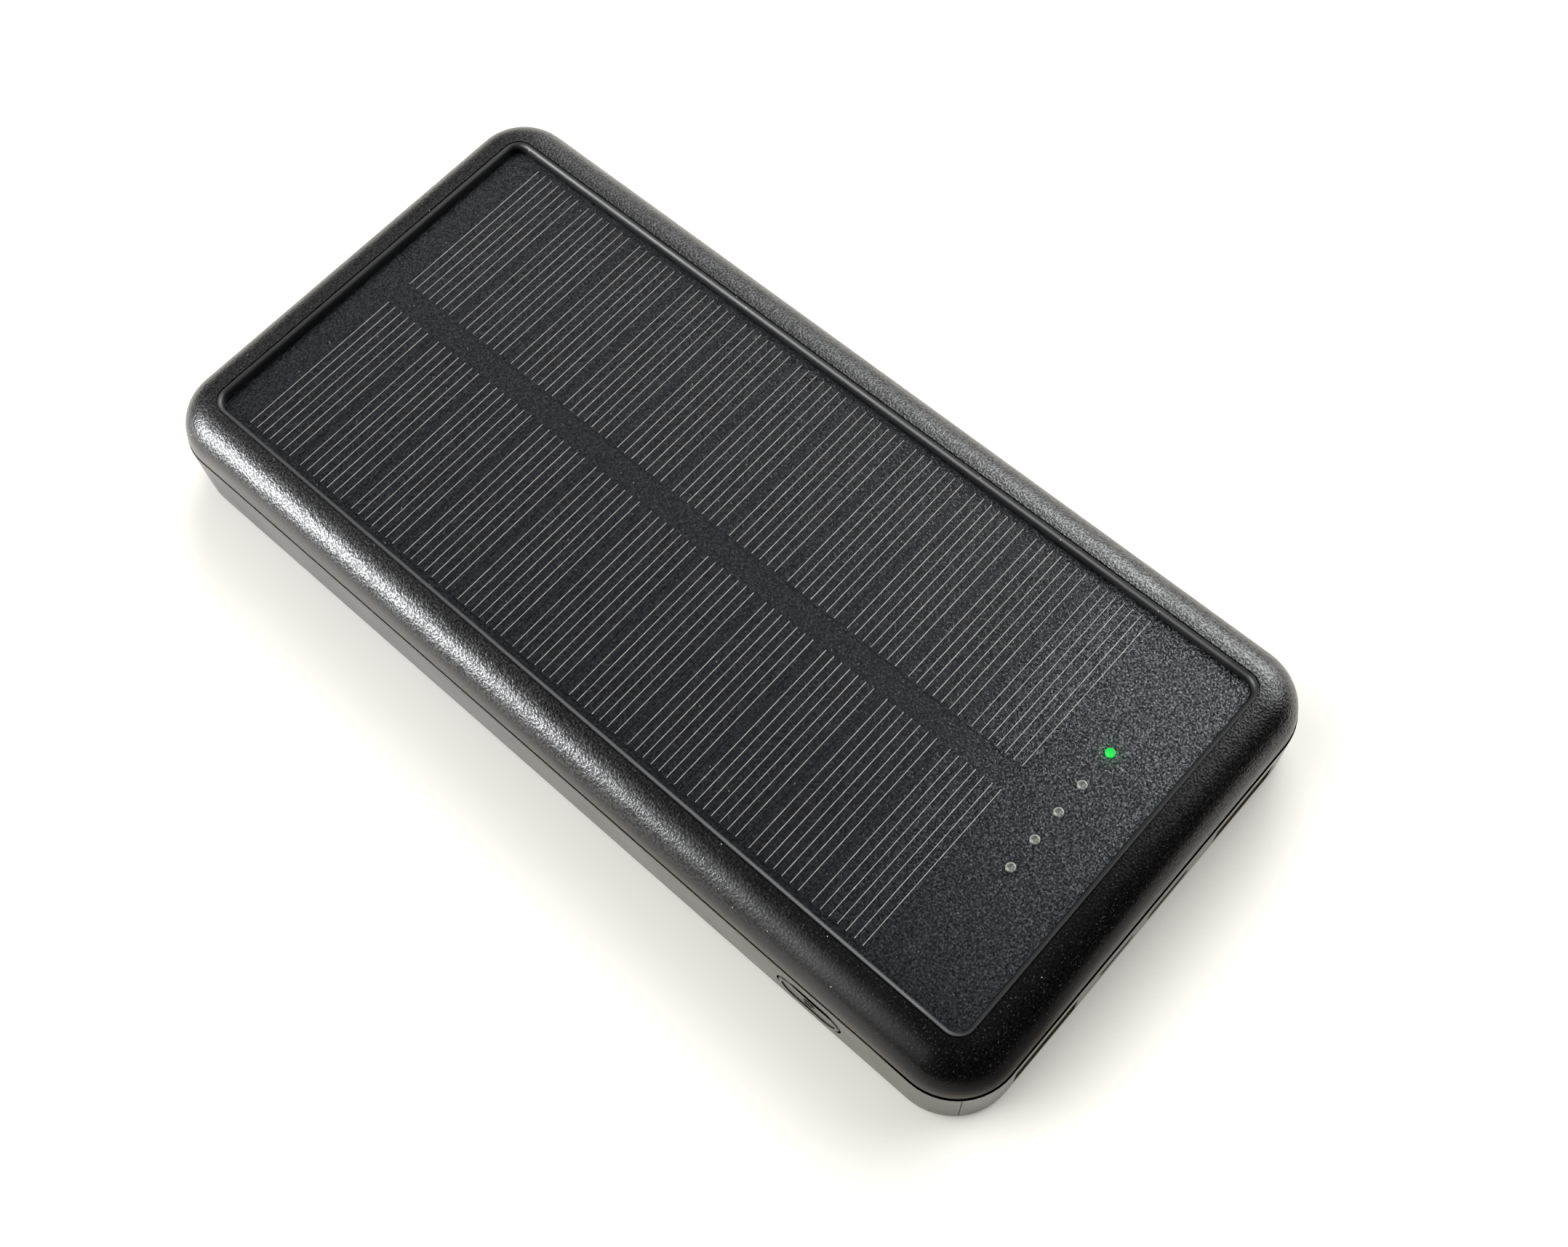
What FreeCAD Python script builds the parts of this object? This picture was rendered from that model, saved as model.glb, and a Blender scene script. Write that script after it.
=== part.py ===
"""Solar phone charger: a flat power bank with a solar panel let into its top cover.

Millimetres. The origin is the centre of the underside, +Z up, +Y along the length away from
the ports, +X across the width away from the power button.
"""

import FreeCAD
import Part
import math
import os

import Sketcher

doc = FreeCAD.newDocument("SolarCharger")
sheet = doc.addObject("Spreadsheet::Sheet", "Sizes")

DRIVING = [
    ("body_width", 76.0, "outside width of the case"),
    ("body_length", 153.6, "outside length of the case"),
    ("body_corner", 9.1, "plan radius of the case corners"),
    ("rim_height", 17.4, "underside to the top of the rim"),
    ("seam_height", 11.0, "underside to the joint line"),
    ("seam_reveal", 0.14, "open gap at the joint line"),
    ("seam_rounding", 0.3, "rounding of the shell's edge at the joint line"),
    ("wall", 1.8, "case wall"),
    ("floor_thickness", 1.3, "case floor"),
    ("base_rounding", 0.7, "rounding under the case"),
    ("cover_inset", 0.2, "ledge that the cover leaves round the joint line"),
    ("crown_radius", 6.2, "rounding of the cover's outer edge"),
    ("rim_width", 7.2, "case side to the panel recess"),
    ("recess_corner", 2.0, "plan radius of the panel recess"),
    ("lip_radius", 0.7, "rounding of the recess edge"),
    ("crease_width", 0.2, "groove between rim and lip"),
    ("crease_depth", 0.22, "depth of that groove"),
    ("cover_plate_low", 13.25, "underside of the cover plate"),
    ("recess_floor", 14.65, "level that the panel is glued to"),
    ("panel_top", 16.05, "top of the panel film"),
    ("panel_gap", 0.15, "gap round the panel"),
    ("adhesive_thickness", 0.1, "double-sided tape"),
    ("backing_thickness", 0.8, "panel backing board"),
    ("cell_thickness", 0.2, "solar cell"),
    ("finger_thickness", 0.02, "silver finger"),
    ("finger_width", 0.11, "silver finger"),
    ("finger_pitch", 1.4214, "finger to finger"),
    ("group_pitch", 10.855, "cell to cell"),
    ("cell_length", 10.4, "cell size along Y"),
    ("column_inner", 2.15, "centre line to the finger ends"),
    ("column_outer", 29.6, "centre line to the far finger ends"),
    ("column_centre", 0.0, "X of the line between the two columns"),
    ("cell_margin", 0.2, "cell edge beyond its fingers"),
    ("first_finger", 64.12, "Y of the finger nearest the far end"),
    ("window_row", -60.5, "Y of the indicator windows"),
    ("window_bore", 0.64, "radius of an indicator window"),
    ("guide_radius", 0.56, "radius of a light guide post"),
    ("board_low", 7.3, "underside of the circuit board"),
    ("board_thickness", 1.0, "circuit board"),
    ("board_half_width", 34.8, "circuit board"),
    ("board_corner", 4.5, "plan radius of the board corners"),
    ("board_front", -73.8, "board edge next to the ports"),
    ("board_back", -47.3, "board edge next to the battery"),
    ("port_level", 4.4, "height of the port centres"),
    ("port_mouth", 0.6, "port shell set back from the case end"),
    ("port_sheet", 0.3, "steel sheet of the port shells"),
    ("usb_a_offset", 21.3, "X of each large port"),
    ("usb_a_width", 13.2, "large port shell"),
    ("usb_a_height", 5.72, "large port shell"),
    ("usb_a_depth", 14.0, "large port shell"),
    ("micro_offset", -6.5, "X of the small charging port"),
    ("micro_depth", 5.4, "small charging port shell"),
    ("usb_c_offset", 4.5, "X of the oval port"),
    ("usb_c_width", 8.94, "oval port shell"),
    ("usb_c_height", 3.16, "oval port shell"),
    ("usb_c_depth", 7.3, "oval port shell"),
    ("button_row", -50.95, "Y of the power button"),
    ("button_level", 5.35, "height of the power button"),
    ("button_length", 10.6, "power button along Y"),
    ("button_height", 6.0, "power button along Z"),
    ("button_gap", 0.2, "gap round the power button"),
    ("button_travel", 0.4, "stroke of the power button"),
    ("button_proud", 0.12, "power button out past the case side"),
    ("button_rounding", 0.35, "rounding of the button's face"),
    ("button_flange", 0.6, "flange past the button all round"),
    ("flange_thickness", 0.8, "flange behind the case wall"),
    ("flange_gap", 0.08, "case wall to the flange"),
    ("nub_length", 0.8, "nub on the back of the flange"),
    ("nub_radius", 1.3, "nub on the back of the flange"),
    ("dish_margin", 0.65, "button edge to its dish"),
    ("dish_depth", 0.14, "dish in the button's face"),
    ("mark_outer", 0.95, "ring in the dish, outside radius"),
    ("mark_inner", 0.72, "ring in the dish, inside radius"),
    ("mark_height", 0.1, "ring out of the dish"),
    ("stem_radius", 1.0, "stem of the switch"),
    ("stem_reach", 0.8, "stem out of the switch case"),
    ("switch_depth", 3.4, "switch case along X"),
    ("switch_width", 6.0, "switch case along Y"),
    ("switch_low", 3.4, "underside of the switch case"),
    ("pouch_width", 34.0, "battery cell"),
    ("pouch_length", 112.0, "battery cell"),
    ("pouch_height", 10.5, "battery cell"),
    ("pouch_inner", 0.9, "centre line to a battery cell"),
    ("pouch_far", 73.0, "far end of the battery cells"),
    ("foam_thickness", 0.5, "foam tape under a battery cell"),
    ("pouch_rounding", 1.2, "rounding of a battery cell's edges"),
    ("lead_radius", 0.6, "insulated lead"),
]

for row, (alias, value, meaning) in enumerate(DRIVING, start=1):
    sheet.set(f"A{row}", str(value))
    sheet.setAlias(f"A{row}", alias)
    sheet.set(f"B{row}", meaning)
doc.recompute()


class Size:
    """A size: its number now, and the spreadsheet expression that gives it."""

    def __init__(self, number, text):
        self.number = number
        self.text = text

    def __add__(self, other):
        other = as_size(other)
        return Size(self.number + other.number, f"({self.text} + {other.text})")

    def __sub__(self, other):
        other = as_size(other)
        return Size(self.number - other.number, f"({self.text} - {other.text})")

    def __mul__(self, factor):
        factor = as_size(factor)
        return Size(self.number * factor.number, f"({self.text} * {factor.text})")

    def __truediv__(self, factor):
        factor = as_size(factor)
        return Size(self.number / factor.number, f"({self.text} / {factor.text})")

    def __radd__(self, other):
        return as_size(other) + self

    def __rsub__(self, other):
        return as_size(other) - self

    def __neg__(self):
        return Size(-self.number, f"(0 - {self.text})")


def as_size(value):
    """Wraps a plain number, and leaves a Size as it is."""
    if isinstance(value, Size):
        return value
    return Size(float(value), f"({float(value):.6g})")


class Sizes:
    """The driving dimensions, as attributes bound to the spreadsheet."""


s = Sizes()
for alias, value, _ in DRIVING:
    setattr(s, alias, Size(value, f"Sizes.{alias}"))

nodes = []


def node(piece, label):
    """Names a finished sub-part, and lists it for export."""
    piece.Label = label
    nodes.append(piece)
    return piece


# ---------------------------------------------------------------- sketches and features


def bind(thing, prop, size):
    """Ties one property to its spreadsheet expression."""
    thing.setExpression(prop, as_size(size).text)


def new_body(name):
    return doc.addObject("PartDesign::Body", name)


def new_sketch(body, role, level):
    """An empty sketch on one of the body's origin planes, moved along its normal."""
    sketch = body.newObject("Sketcher::SketchObject", f"{body.Name}_sketch")
    plane = next(item for item in body.Origin.OriginFeatures if item.Role == role)
    sketch.AttachmentSupport = [(plane, "")]
    sketch.MapMode = "FlatFace"
    bind(sketch, "AttachmentOffset.Base.z", level)
    doc.recompute()
    return sketch


def fix(sketch, kind, places, size):
    """Adds one dimension and ties it to the spreadsheet."""
    size = as_size(size)
    index = sketch.addConstraint(Sketcher.Constraint(kind, *places, size.number))
    bind(sketch, f"Constraints[{index}]", size)


def fix_point(sketch, geometry, point, x, y):
    """Holds a point of the sketch at x, y from the sketch's origin."""
    fix(sketch, "DistanceX", (-1, 1, geometry, point), x)
    fix(sketch, "DistanceY", (-1, 1, geometry, point), y)


def draw_polygon(sketch, points):
    """A closed outline of straight lines through points of Size pairs."""
    points = [(as_size(x), as_size(y)) for x, y in points]
    corners = [FreeCAD.Vector(x.number, y.number, 0) for x, y in points]
    count = len(corners)
    first = sketch.GeometryCount
    for i in range(count):
        sketch.addGeometry(Part.LineSegment(corners[i], corners[(i + 1) % count]), False)
    for i in range(count):
        after = first + (i + 1) % count
        sketch.addConstraint(Sketcher.Constraint("Coincident", first + i, 2, after, 1))
    for i, (x, y) in enumerate(points):
        fix_point(sketch, first + i, 1, x, y)


def draw_box(sketch, x_low, x_high, y_low, y_high):
    """A rectangle between two corners."""
    draw_polygon(sketch, [(x_low, y_low), (x_high, y_low), (x_high, y_high), (x_low, y_high)])


def draw_round_box(sketch, width, length, radius, x=0.0, y=0.0):
    """A rectangle about x, y with rounded corners, or an obround if radius is half its height."""
    width, length, radius = as_size(width), as_size(length), as_size(radius)
    x, y = as_size(x), as_size(y)
    reach_x = width / 2 - radius
    reach_y = length / 2 - radius
    first = sketch.GeometryCount
    obround = reach_y.number < 1e-6
    quarter = math.pi / 2
    if obround:
        centres = [(1, 0, -quarter, quarter), (-1, 0, quarter, 3 * quarter)]
    else:
        centres = [
            (1, -1, -quarter, 0.0),
            (1, 1, 0.0, quarter),
            (-1, 1, quarter, 2 * quarter),
            (-1, -1, 2 * quarter, 3 * quarter),
        ]
    arcs = []
    for side_x, side_y, start, stop in centres:
        centre = FreeCAD.Vector(
            x.number + side_x * reach_x.number, y.number + side_y * reach_y.number, 0
        )
        circle = Part.Circle(centre, FreeCAD.Vector(0, 0, 1), radius.number)
        arcs.append(Part.ArcOfCircle(circle, start, stop))
    count = len(arcs)
    for arc in arcs:
        sketch.addGeometry(arc, False)
    for i in range(count):
        line = Part.LineSegment(arcs[i].EndPoint, arcs[(i + 1) % count].StartPoint)
        sketch.addGeometry(line, False)
    for i in range(count):
        line = first + count + i
        after = first + (i + 1) % count
        sketch.addConstraint(Sketcher.Constraint("Tangent", first + i, 2, line, 1))
        sketch.addConstraint(Sketcher.Constraint("Tangent", line, 2, after, 1))
    if obround:
        fix(sketch, "Radius", (first,), radius)
        for i, (side_x, _, _, _) in enumerate(centres):
            fix_point(sketch, first + i, 3, x + reach_x * side_x, y)
        return
    for i in range(1, count):
        sketch.addConstraint(Sketcher.Constraint("Equal", first, first + i))
    fix(sketch, "Radius", (first,), radius)
    fix_point(sketch, first + 1, 3, x + reach_x, y + reach_y)
    fix_point(sketch, first + 3, 3, x - reach_x, y - reach_y)
    sketch.addConstraint(Sketcher.Constraint("Vertical", first + count))
    sketch.addConstraint(Sketcher.Constraint("Horizontal", first + count + 1))


def draw_circle(sketch, x, y, radius):
    x, y, radius = as_size(x), as_size(y), as_size(radius)
    circle = Part.Circle(FreeCAD.Vector(x.number, y.number, 0), FreeCAD.Vector(0, 0, 1), radius.number)
    index = sketch.addGeometry(circle, False)
    fix(sketch, "Radius", (index,), radius)
    fix_point(sketch, index, 3, x, y)


def extrude(body, kind, sketch, length, back=False, both=False):
    """A pad or a pocket, which has to change the body's volume."""
    before = body.Shape.Volume if body.Tip else 0.0
    feature = body.newObject(f"PartDesign::{kind}", f"{body.Name}_{kind.lower()}")
    feature.Profile = sketch
    feature.Reversed = back
    feature.Midplane = both
    bind(feature, "Length", length)
    doc.recompute()
    change = feature.Shape.Volume - before
    wrong = change <= 1e-6 if kind == "Pad" else change >= -1e-6
    if wrong:
        raise RuntimeError(f"{feature.Name} changes nothing")
    return feature


def pad(body, sketch, length, back=False, both=False):
    return extrude(body, "Pad", sketch, length, back, both)


def pocket(body, sketch, length, back=False, both=False):
    return extrude(body, "Pocket", sketch, length, back, both)


def edges_of(shape, test):
    """The names of the edges whose middle point passes the test."""
    names = []
    for index, edge in enumerate(shape.Edges, start=1):
        middle = edge.valueAt((edge.FirstParameter + edge.LastParameter) / 2)
        if test(middle, edge):
            names.append(f"Edge{index}")
    return names


def lies_within(edge, half_x, half_y):
    """Whether the whole edge is inside a rectangle about the origin."""
    box = edge.BoundBox
    return max(-box.XMin, box.XMax) < half_x and max(-box.YMin, box.YMax) < half_y


def round_edges(body, test, radius):
    """A fillet on the edges of the body that pass the test."""
    tip = body.Tip
    names = edges_of(tip.Shape, test)
    feature = body.newObject("PartDesign::Fillet", f"{body.Name}_fillet")
    feature.Base = (tip, names)
    bind(feature, "Radius", radius)
    doc.recompute()
    return feature


def block(name, x_low, x_high, y_low, y_high, z_low, z_high):
    """A Part box between two corners."""
    piece = doc.addObject("Part::Box", name)
    bind(piece, "Length", as_size(x_high) - x_low)
    bind(piece, "Width", as_size(y_high) - y_low)
    bind(piece, "Height", as_size(z_high) - z_low)
    bind(piece, ".Placement.Base.x", x_low)
    bind(piece, ".Placement.Base.y", y_low)
    bind(piece, ".Placement.Base.z", z_low)
    return piece


def post(name, x, y, z_low, z_high, radius):
    """An upright Part cylinder."""
    piece = doc.addObject("Part::Cylinder", name)
    bind(piece, "Radius", radius)
    bind(piece, "Height", as_size(z_high) - z_low)
    bind(piece, ".Placement.Base.x", x)
    bind(piece, ".Placement.Base.y", y)
    bind(piece, ".Placement.Base.z", z_low)
    return piece


def rod(name, x_low, x_high, y, z, radius):
    """A Part cylinder along X."""
    piece = doc.addObject("Part::Cylinder", name)
    piece.Placement.Rotation = FreeCAD.Rotation(FreeCAD.Vector(0, 1, 0), 90)
    bind(piece, "Radius", radius)
    bind(piece, "Height", as_size(x_high) - x_low)
    bind(piece, ".Placement.Base.x", x_low)
    bind(piece, ".Placement.Base.y", y)
    bind(piece, ".Placement.Base.z", z)
    return piece


def joined(name, pieces):
    """Several Part solids fused into one."""
    result = doc.addObject("Part::MultiFuse", name)
    result.Shapes = pieces
    return result


def grouped(name, pieces):
    """Several separate solids kept in one sub-part."""
    result = doc.addObject("Part::Compound", name)
    result.Links = pieces
    return result


def without(name, base, tool):
    """One Part solid with another taken out of it."""
    result = doc.addObject("Part::Cut", name)
    result.Base = base
    result.Tool = tool
    return result


def lead(name, corners, radius, bend):
    """A round lead along straight runs joined by tangent arcs."""
    edges = []
    start = corners[0]
    for before, corner, after in zip(corners, corners[1:], corners[2:]):
        to_before = (before - corner).normalize()
        to_after = (after - corner).normalize()
        half = to_before.getAngle(to_after) / 2
        reach = bend / math.tan(half)
        enter = corner + to_before * reach
        leave = corner + to_after * reach
        bisector = (to_before + to_after).normalize()
        middle = corner + bisector * (bend / math.sin(half) - bend)
        edges.append(Part.LineSegment(start, enter).toShape())
        edges.append(Part.Arc(enter, middle, leave).toShape())
        start = leave
    edges.append(Part.LineSegment(start, corners[-1]).toShape())
    path = Part.Wire(edges)
    heading = corners[1] - corners[0]
    ring = Part.Wire([Part.makeCircle(radius, corners[0], heading)])
    tube = path.makePipeShell([ring], True, False)
    expected = math.pi * radius**2 * path.Length
    if abs(tube.Volume / expected - 1) > 0.01:
        raise RuntimeError(f"{name} is not its section times its length")
    piece = doc.addObject("Part::Feature", name)
    piece.Shape = tube
    return piece


# ---------------------------------------------------------------- places worked out from the sizes

half_width = s.body_width / 2
half_length = s.body_length / 2
inner_half_width = half_width - s.wall
inner_half_length = half_length - s.wall
board_top = s.board_low + s.board_thickness
port_front = -half_length + s.port_mouth
backing_low = s.recess_floor + s.adhesive_thickness
cell_low = backing_low + s.backing_thickness
finger_low = cell_low + s.cell_thickness
film_low = finger_low + s.finger_thickness
recess_width = s.body_width - s.rim_width * 2
recess_length = s.body_length - s.rim_width * 2
panel_width = recess_width - s.panel_gap * 2
panel_length = recess_length - s.panel_gap * 2
panel_corner = s.recess_corner - s.panel_gap

GROUPS = 11
FINGERS = 7
WINDOWS_X = [-9.6, -4.7, 0.2, 5.1, 11.0]
BREAK_THROUGH = 1.0
HOOKS_Y = [-62.0, -34.0, -4.0, 28.0, 60.0]
HOOKS_X = [-20.0, 20.0]
HOOK_WIDTH = 4.0
HOOK_THICKNESS = 1.1
HOOK_CLEARANCE = 0.1
HOOK_BARB = 0.4
HOOK_TIP = 8.7
BARB_TOP = 9.6
BARB_DEPTH = 0.7
CATCH_DEPTH = 0.5
CATCH_LOW = 8.7
CATCH_HIGH = 9.8
TONGUE_THICKNESS = 0.7
TONGUE_TOP = 11.95
SKIRT_THICKNESS = 1.05
SCREWS = [(-27.0, -50.0), (27.0, -50.0), (-1.0, -66.2)]
SCREW_RADIUS = 1.0
SCREW_TIP = 2.6
SCREW_HOLE_GAP = 0.15
SCREW_BORE_GAP = 0.02
HEAD_RADIUS = 1.8
HEAD_HEIGHT = 1.2
SLOT_LENGTH = 2.2
SLOT_WIDTH = 0.5
SLOT_DEPTH = 0.6
BOSS_RADIUS = 2.2
BOSS_BORE_DEPTH = 5.2
LEAD_WINDOW = (-19.0, -10.0, -54.0, -49.5)
TAPE_WINDOW = (-24.0, 24.0, -55.0, 60.0)
TAPE_MARGIN = 0.5
TAPE_HOLE_GROWTH = 0.3
RIM_HOLLOW_OUTER = 2.7
RIM_HOLLOW_SHELF = 1.3
RIM_HOLLOW_DEPTH = 2.0
CATCH_SIDE_GAP = 0.3
RIB_HALF_WIDTH = 0.5
RIB_NEAR = -36.5
RIB_HEIGHT = 5.0
CROSS_WALL_X = 18.0
CROSS_WALL_HALF = 13.0
CROSS_WALL_Y = (-45.2, -44.4)
CROSS_WALL_HEIGHT = 3.4
GUIDE_BAR_Z = (11.9, 12.9)
GUIDE_BAR_MARGIN = 1.6
GUIDE_BAR_HALF = 1.3
GUIDE_POST_FOOT = 9.4
GUIDE_POST_SUNK = 0.06

# openings in the end wall and the wider pockets behind them: width, height, corner radius
USB_A_OPENING = (12.7, 5.3, 0.4)
USB_C_OPENING = (8.9, 3.1, 1.55)
USB_C_POCKET = (9.2, 3.42, 1.71)
USB_A_POCKET_WIDTH = 13.5
USB_A_POCKET_TOP = 3.0
POCKET_OVERLAP = 0.1

# outlines of the small port: half width, half height, shoulder, slope
MICRO_OPENING = (3.55, 1.2, 0.3, 0.95)
MICRO_POCKET = (3.9, 1.45, 0.3, 1.1)
MICRO_OUTSIDE = (3.75, 1.3, 0.3, 1.05)
MICRO_INSIDE = (3.45, 1.0, 0.22, 0.9)
MICRO_HEEL = (3.43, 0.98, 0.2, 0.9)

LARGE_HEEL_GAP = 0.1
SMALL_HEEL_GAP = 0.02
LEG_HALF = 0.35
LEG_DEPTH_HALF = 0.5
LEG_FRONT = 3.0
LEG_BACK = 0.9
FOAM_HALF_WIDTH = 14.0
FOAM_MARGIN = 6.0
SEAL_HALF_WIDTH = 15.5
SEAL_LENGTH = 3.4
SEAL_THICKNESS = 0.4
TAB_OFFSETS = (-6.0, 6.0)
TAB_HALF_WIDTH = 2.5
TAB_LENGTH = 3.0
TAB_THICKNESS = 0.16
BOARD_LEAD_GAP = 0.02


def draw_body_outline(sketch, inset):
    """The case outline, moved in by inset."""
    inset = as_size(inset)
    draw_round_box(
        sketch, s.body_width - inset * 2, s.body_length - inset * 2, s.body_corner - inset
    )


# ---------------------------------------------------------------- case


def make_bottom_shell():
    """The lower half of the case, with its floor, port openings, bosses and ribs."""
    body = new_body("BottomShell")
    sketch = new_sketch(body, "XY_Plane", 0)
    draw_body_outline(sketch, 0)
    pad(body, sketch, s.seam_height)
    round_edges(body, lambda middle, edge: middle.z < 0.01, s.base_rounding)
    round_edges(body, lambda middle, edge: middle.z > s.seam_height.number - 0.01, s.seam_rounding)

    sketch = new_sketch(body, "XY_Plane", s.seam_height)
    draw_body_outline(sketch, s.wall)
    pocket(body, sketch, s.seam_height - s.floor_thickness)

    sketch = new_sketch(body, "XY_Plane", s.seam_height)
    draw_body_outline(sketch, s.wall)
    draw_body_outline(sketch, s.wall - TONGUE_THICKNESS)
    pad(body, sketch, TONGUE_TOP - s.seam_height)

    cut_catches(body)
    cut_ports(body)
    cut_button_hole(body)
    add_ribs(body)
    add_bosses(body)
    return node(body, "bottom_shell")


def cut_catches(body):
    """Shallow pockets inside the walls that the cover's hooks snap into."""
    half = HOOK_WIDTH / 2 + CATCH_SIDE_GAP
    sketch = new_sketch(body, "YZ_Plane", 0)
    for y in HOOKS_Y:
        draw_box(sketch, y - half, y + half, CATCH_LOW, CATCH_HIGH)
    pocket(body, sketch, (inner_half_width + CATCH_DEPTH) * 2, both=True)
    sketch = new_sketch(body, "XZ_Plane", -(inner_half_length + CATCH_DEPTH))
    for x in HOOKS_X:
        draw_box(sketch, x - half, x + half, CATCH_LOW, CATCH_HIGH)
    pocket(body, sketch, CATCH_DEPTH + BREAK_THROUGH, back=True)


def cut_ports(body):
    """The four port openings in the end wall."""
    sketch = new_sketch(body, "XZ_Plane", half_length)
    for side in (-1, 1):
        draw_round_box(sketch, *USB_A_OPENING, s.usb_a_offset * side, s.port_level)
    draw_round_box(sketch, *USB_C_OPENING, s.usb_c_offset, s.port_level)
    draw_polygon(sketch, micro_outline(*MICRO_OPENING))
    pocket(body, sketch, s.wall)

    # the port shells stand in wider pockets behind the openings
    sketch = new_sketch(body, "XZ_Plane", half_length - s.port_mouth + POCKET_OVERLAP)
    half = USB_A_POCKET_WIDTH / 2
    top = s.port_level + USB_A_POCKET_TOP
    for side in (-1, 1):
        centre = s.usb_a_offset * side
        draw_box(sketch, centre - half, centre + half, s.floor_thickness, top)
    draw_round_box(sketch, *USB_C_POCKET, s.usb_c_offset, s.port_level)
    draw_polygon(sketch, micro_outline(*MICRO_POCKET))
    pocket(body, sketch, s.wall)


def micro_outline(half_top, half_high, shoulder, slope):
    """The small port's outline: flat on top, with its lower corners cut off."""
    x, z = s.micro_offset, s.port_level
    return [
        (x - half_top + slope, z - half_high),
        (x + half_top - slope, z - half_high),
        (x + half_top, z - shoulder),
        (x + half_top, z + half_high),
        (x - half_top, z + half_high),
        (x - half_top, z - shoulder),
    ]


def cut_button_hole(body):
    sketch = new_sketch(body, "YZ_Plane", -half_width)
    height = s.button_height + s.button_gap * 2
    draw_round_box(
        sketch, s.button_length + s.button_gap * 2, height, height / 2, s.button_row, s.button_level
    )
    pocket(body, sketch, s.wall, back=True)


def add_ribs(body):
    """A rib between the battery cells and a wall between the battery and the board."""
    sketch = new_sketch(body, "XY_Plane", s.floor_thickness)
    draw_box(sketch, -RIB_HALF_WIDTH, RIB_HALF_WIDTH, RIB_NEAR, s.pouch_far)
    pad(body, sketch, RIB_HEIGHT)
    sketch = new_sketch(body, "XY_Plane", s.floor_thickness)
    for centre in (-CROSS_WALL_X, CROSS_WALL_X):
        draw_box(sketch, centre - CROSS_WALL_HALF, centre + CROSS_WALL_HALF, *CROSS_WALL_Y)
    pad(body, sketch, CROSS_WALL_HEIGHT)


def add_bosses(body):
    """Bosses under the circuit board, bored for its screws."""
    sketch = new_sketch(body, "XY_Plane", s.floor_thickness)
    for x, y in SCREWS:
        draw_circle(sketch, x, y, BOSS_RADIUS)
    pad(body, sketch, s.board_low - s.floor_thickness)
    sketch = new_sketch(body, "XY_Plane", s.board_low)
    for x, y in SCREWS:
        draw_circle(sketch, x, y, SCREW_RADIUS)
    pocket(body, sketch, BOSS_BORE_DEPTH)


def make_top_cover():
    """The rounded cover with the recess that holds the panel."""
    body = new_body("TopCover")
    cover_low = s.seam_height + s.seam_reveal
    sketch = new_sketch(body, "XY_Plane", cover_low)
    draw_body_outline(sketch, s.cover_inset)
    pad(body, sketch, s.rim_height - cover_low)
    top = s.rim_height.number
    round_edges(body, lambda middle, edge: middle.z > top - 0.01, s.crown_radius)

    sketch = new_sketch(body, "XY_Plane", s.rim_height)
    draw_round_box(sketch, recess_width, recess_length, s.recess_corner)
    pocket(body, sketch, s.rim_height - s.recess_floor)

    crease_out = s.rim_width - s.lip_radius - s.crease_width
    sketch = new_sketch(body, "XY_Plane", s.rim_height)
    draw_crease(sketch, s.rim_width - s.lip_radius)
    draw_crease(sketch, crease_out)
    pocket(body, sketch, s.crease_depth)
    half_x = recess_width.number / 2 + 0.01
    half_y = recess_length.number / 2 + 0.01
    round_edges(
        body,
        lambda middle, edge: middle.z > top - 0.01 and lies_within(edge, half_x, half_y),
        s.lip_radius - 0.02,
    )

    sketch = new_sketch(body, "XY_Plane", cover_low)
    draw_body_outline(sketch, SKIRT_THICKNESS)
    pocket(body, sketch, s.cover_plate_low - cover_low, back=True)

    # the rim is hollow underneath, so that its wall has an even thickness
    sketch = new_sketch(body, "XY_Plane", s.cover_plate_low)
    draw_body_outline(sketch, RIM_HOLLOW_OUTER)
    draw_body_outline(sketch, s.rim_width - RIM_HOLLOW_SHELF)
    pocket(body, sketch, RIM_HOLLOW_DEPTH, back=True)

    sketch = new_sketch(body, "XY_Plane", s.cover_plate_low)
    for x in WINDOWS_X:
        draw_circle(sketch, x, s.window_row, s.window_bore)
    draw_box(sketch, *LEAD_WINDOW)
    pocket(body, sketch, s.recess_floor - s.cover_plate_low, back=True)
    add_hooks(body)
    return node(body, "top_cover")


def draw_crease(sketch, inset):
    """The groove's edge, an even distance outside the recess."""
    growth = s.rim_width - inset
    draw_round_box(
        sketch, recess_width + growth * 2, recess_length + growth * 2, s.recess_corner + growth
    )


def add_hooks(body):
    """Snap hooks that reach down inside the case walls."""
    half = HOOK_WIDTH / 2
    outer_x = inner_half_width - HOOK_CLEARANCE
    outer_y = inner_half_length - HOOK_CLEARANCE
    stem = new_sketch(body, "XY_Plane", s.cover_plate_low)
    for y in HOOKS_Y:
        draw_box(stem, -outer_x, -outer_x + HOOK_THICKNESS, y - half, y + half)
        draw_box(stem, outer_x - HOOK_THICKNESS, outer_x, y - half, y + half)
    for x in HOOKS_X:
        draw_box(stem, x - half, x + half, outer_y - HOOK_THICKNESS, outer_y)
    pad(body, stem, s.cover_plate_low - HOOK_TIP, back=True)
    barb = new_sketch(body, "XY_Plane", BARB_TOP)
    for y in HOOKS_Y:
        draw_box(barb, -outer_x - HOOK_BARB, -outer_x, y - half, y + half)
        draw_box(barb, outer_x, outer_x + HOOK_BARB, y - half, y + half)
    for x in HOOKS_X:
        draw_box(barb, x - half, x + half, outer_y, outer_y + HOOK_BARB)
    pad(body, barb, BARB_DEPTH, back=True)


# ---------------------------------------------------------------- solar panel


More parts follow.
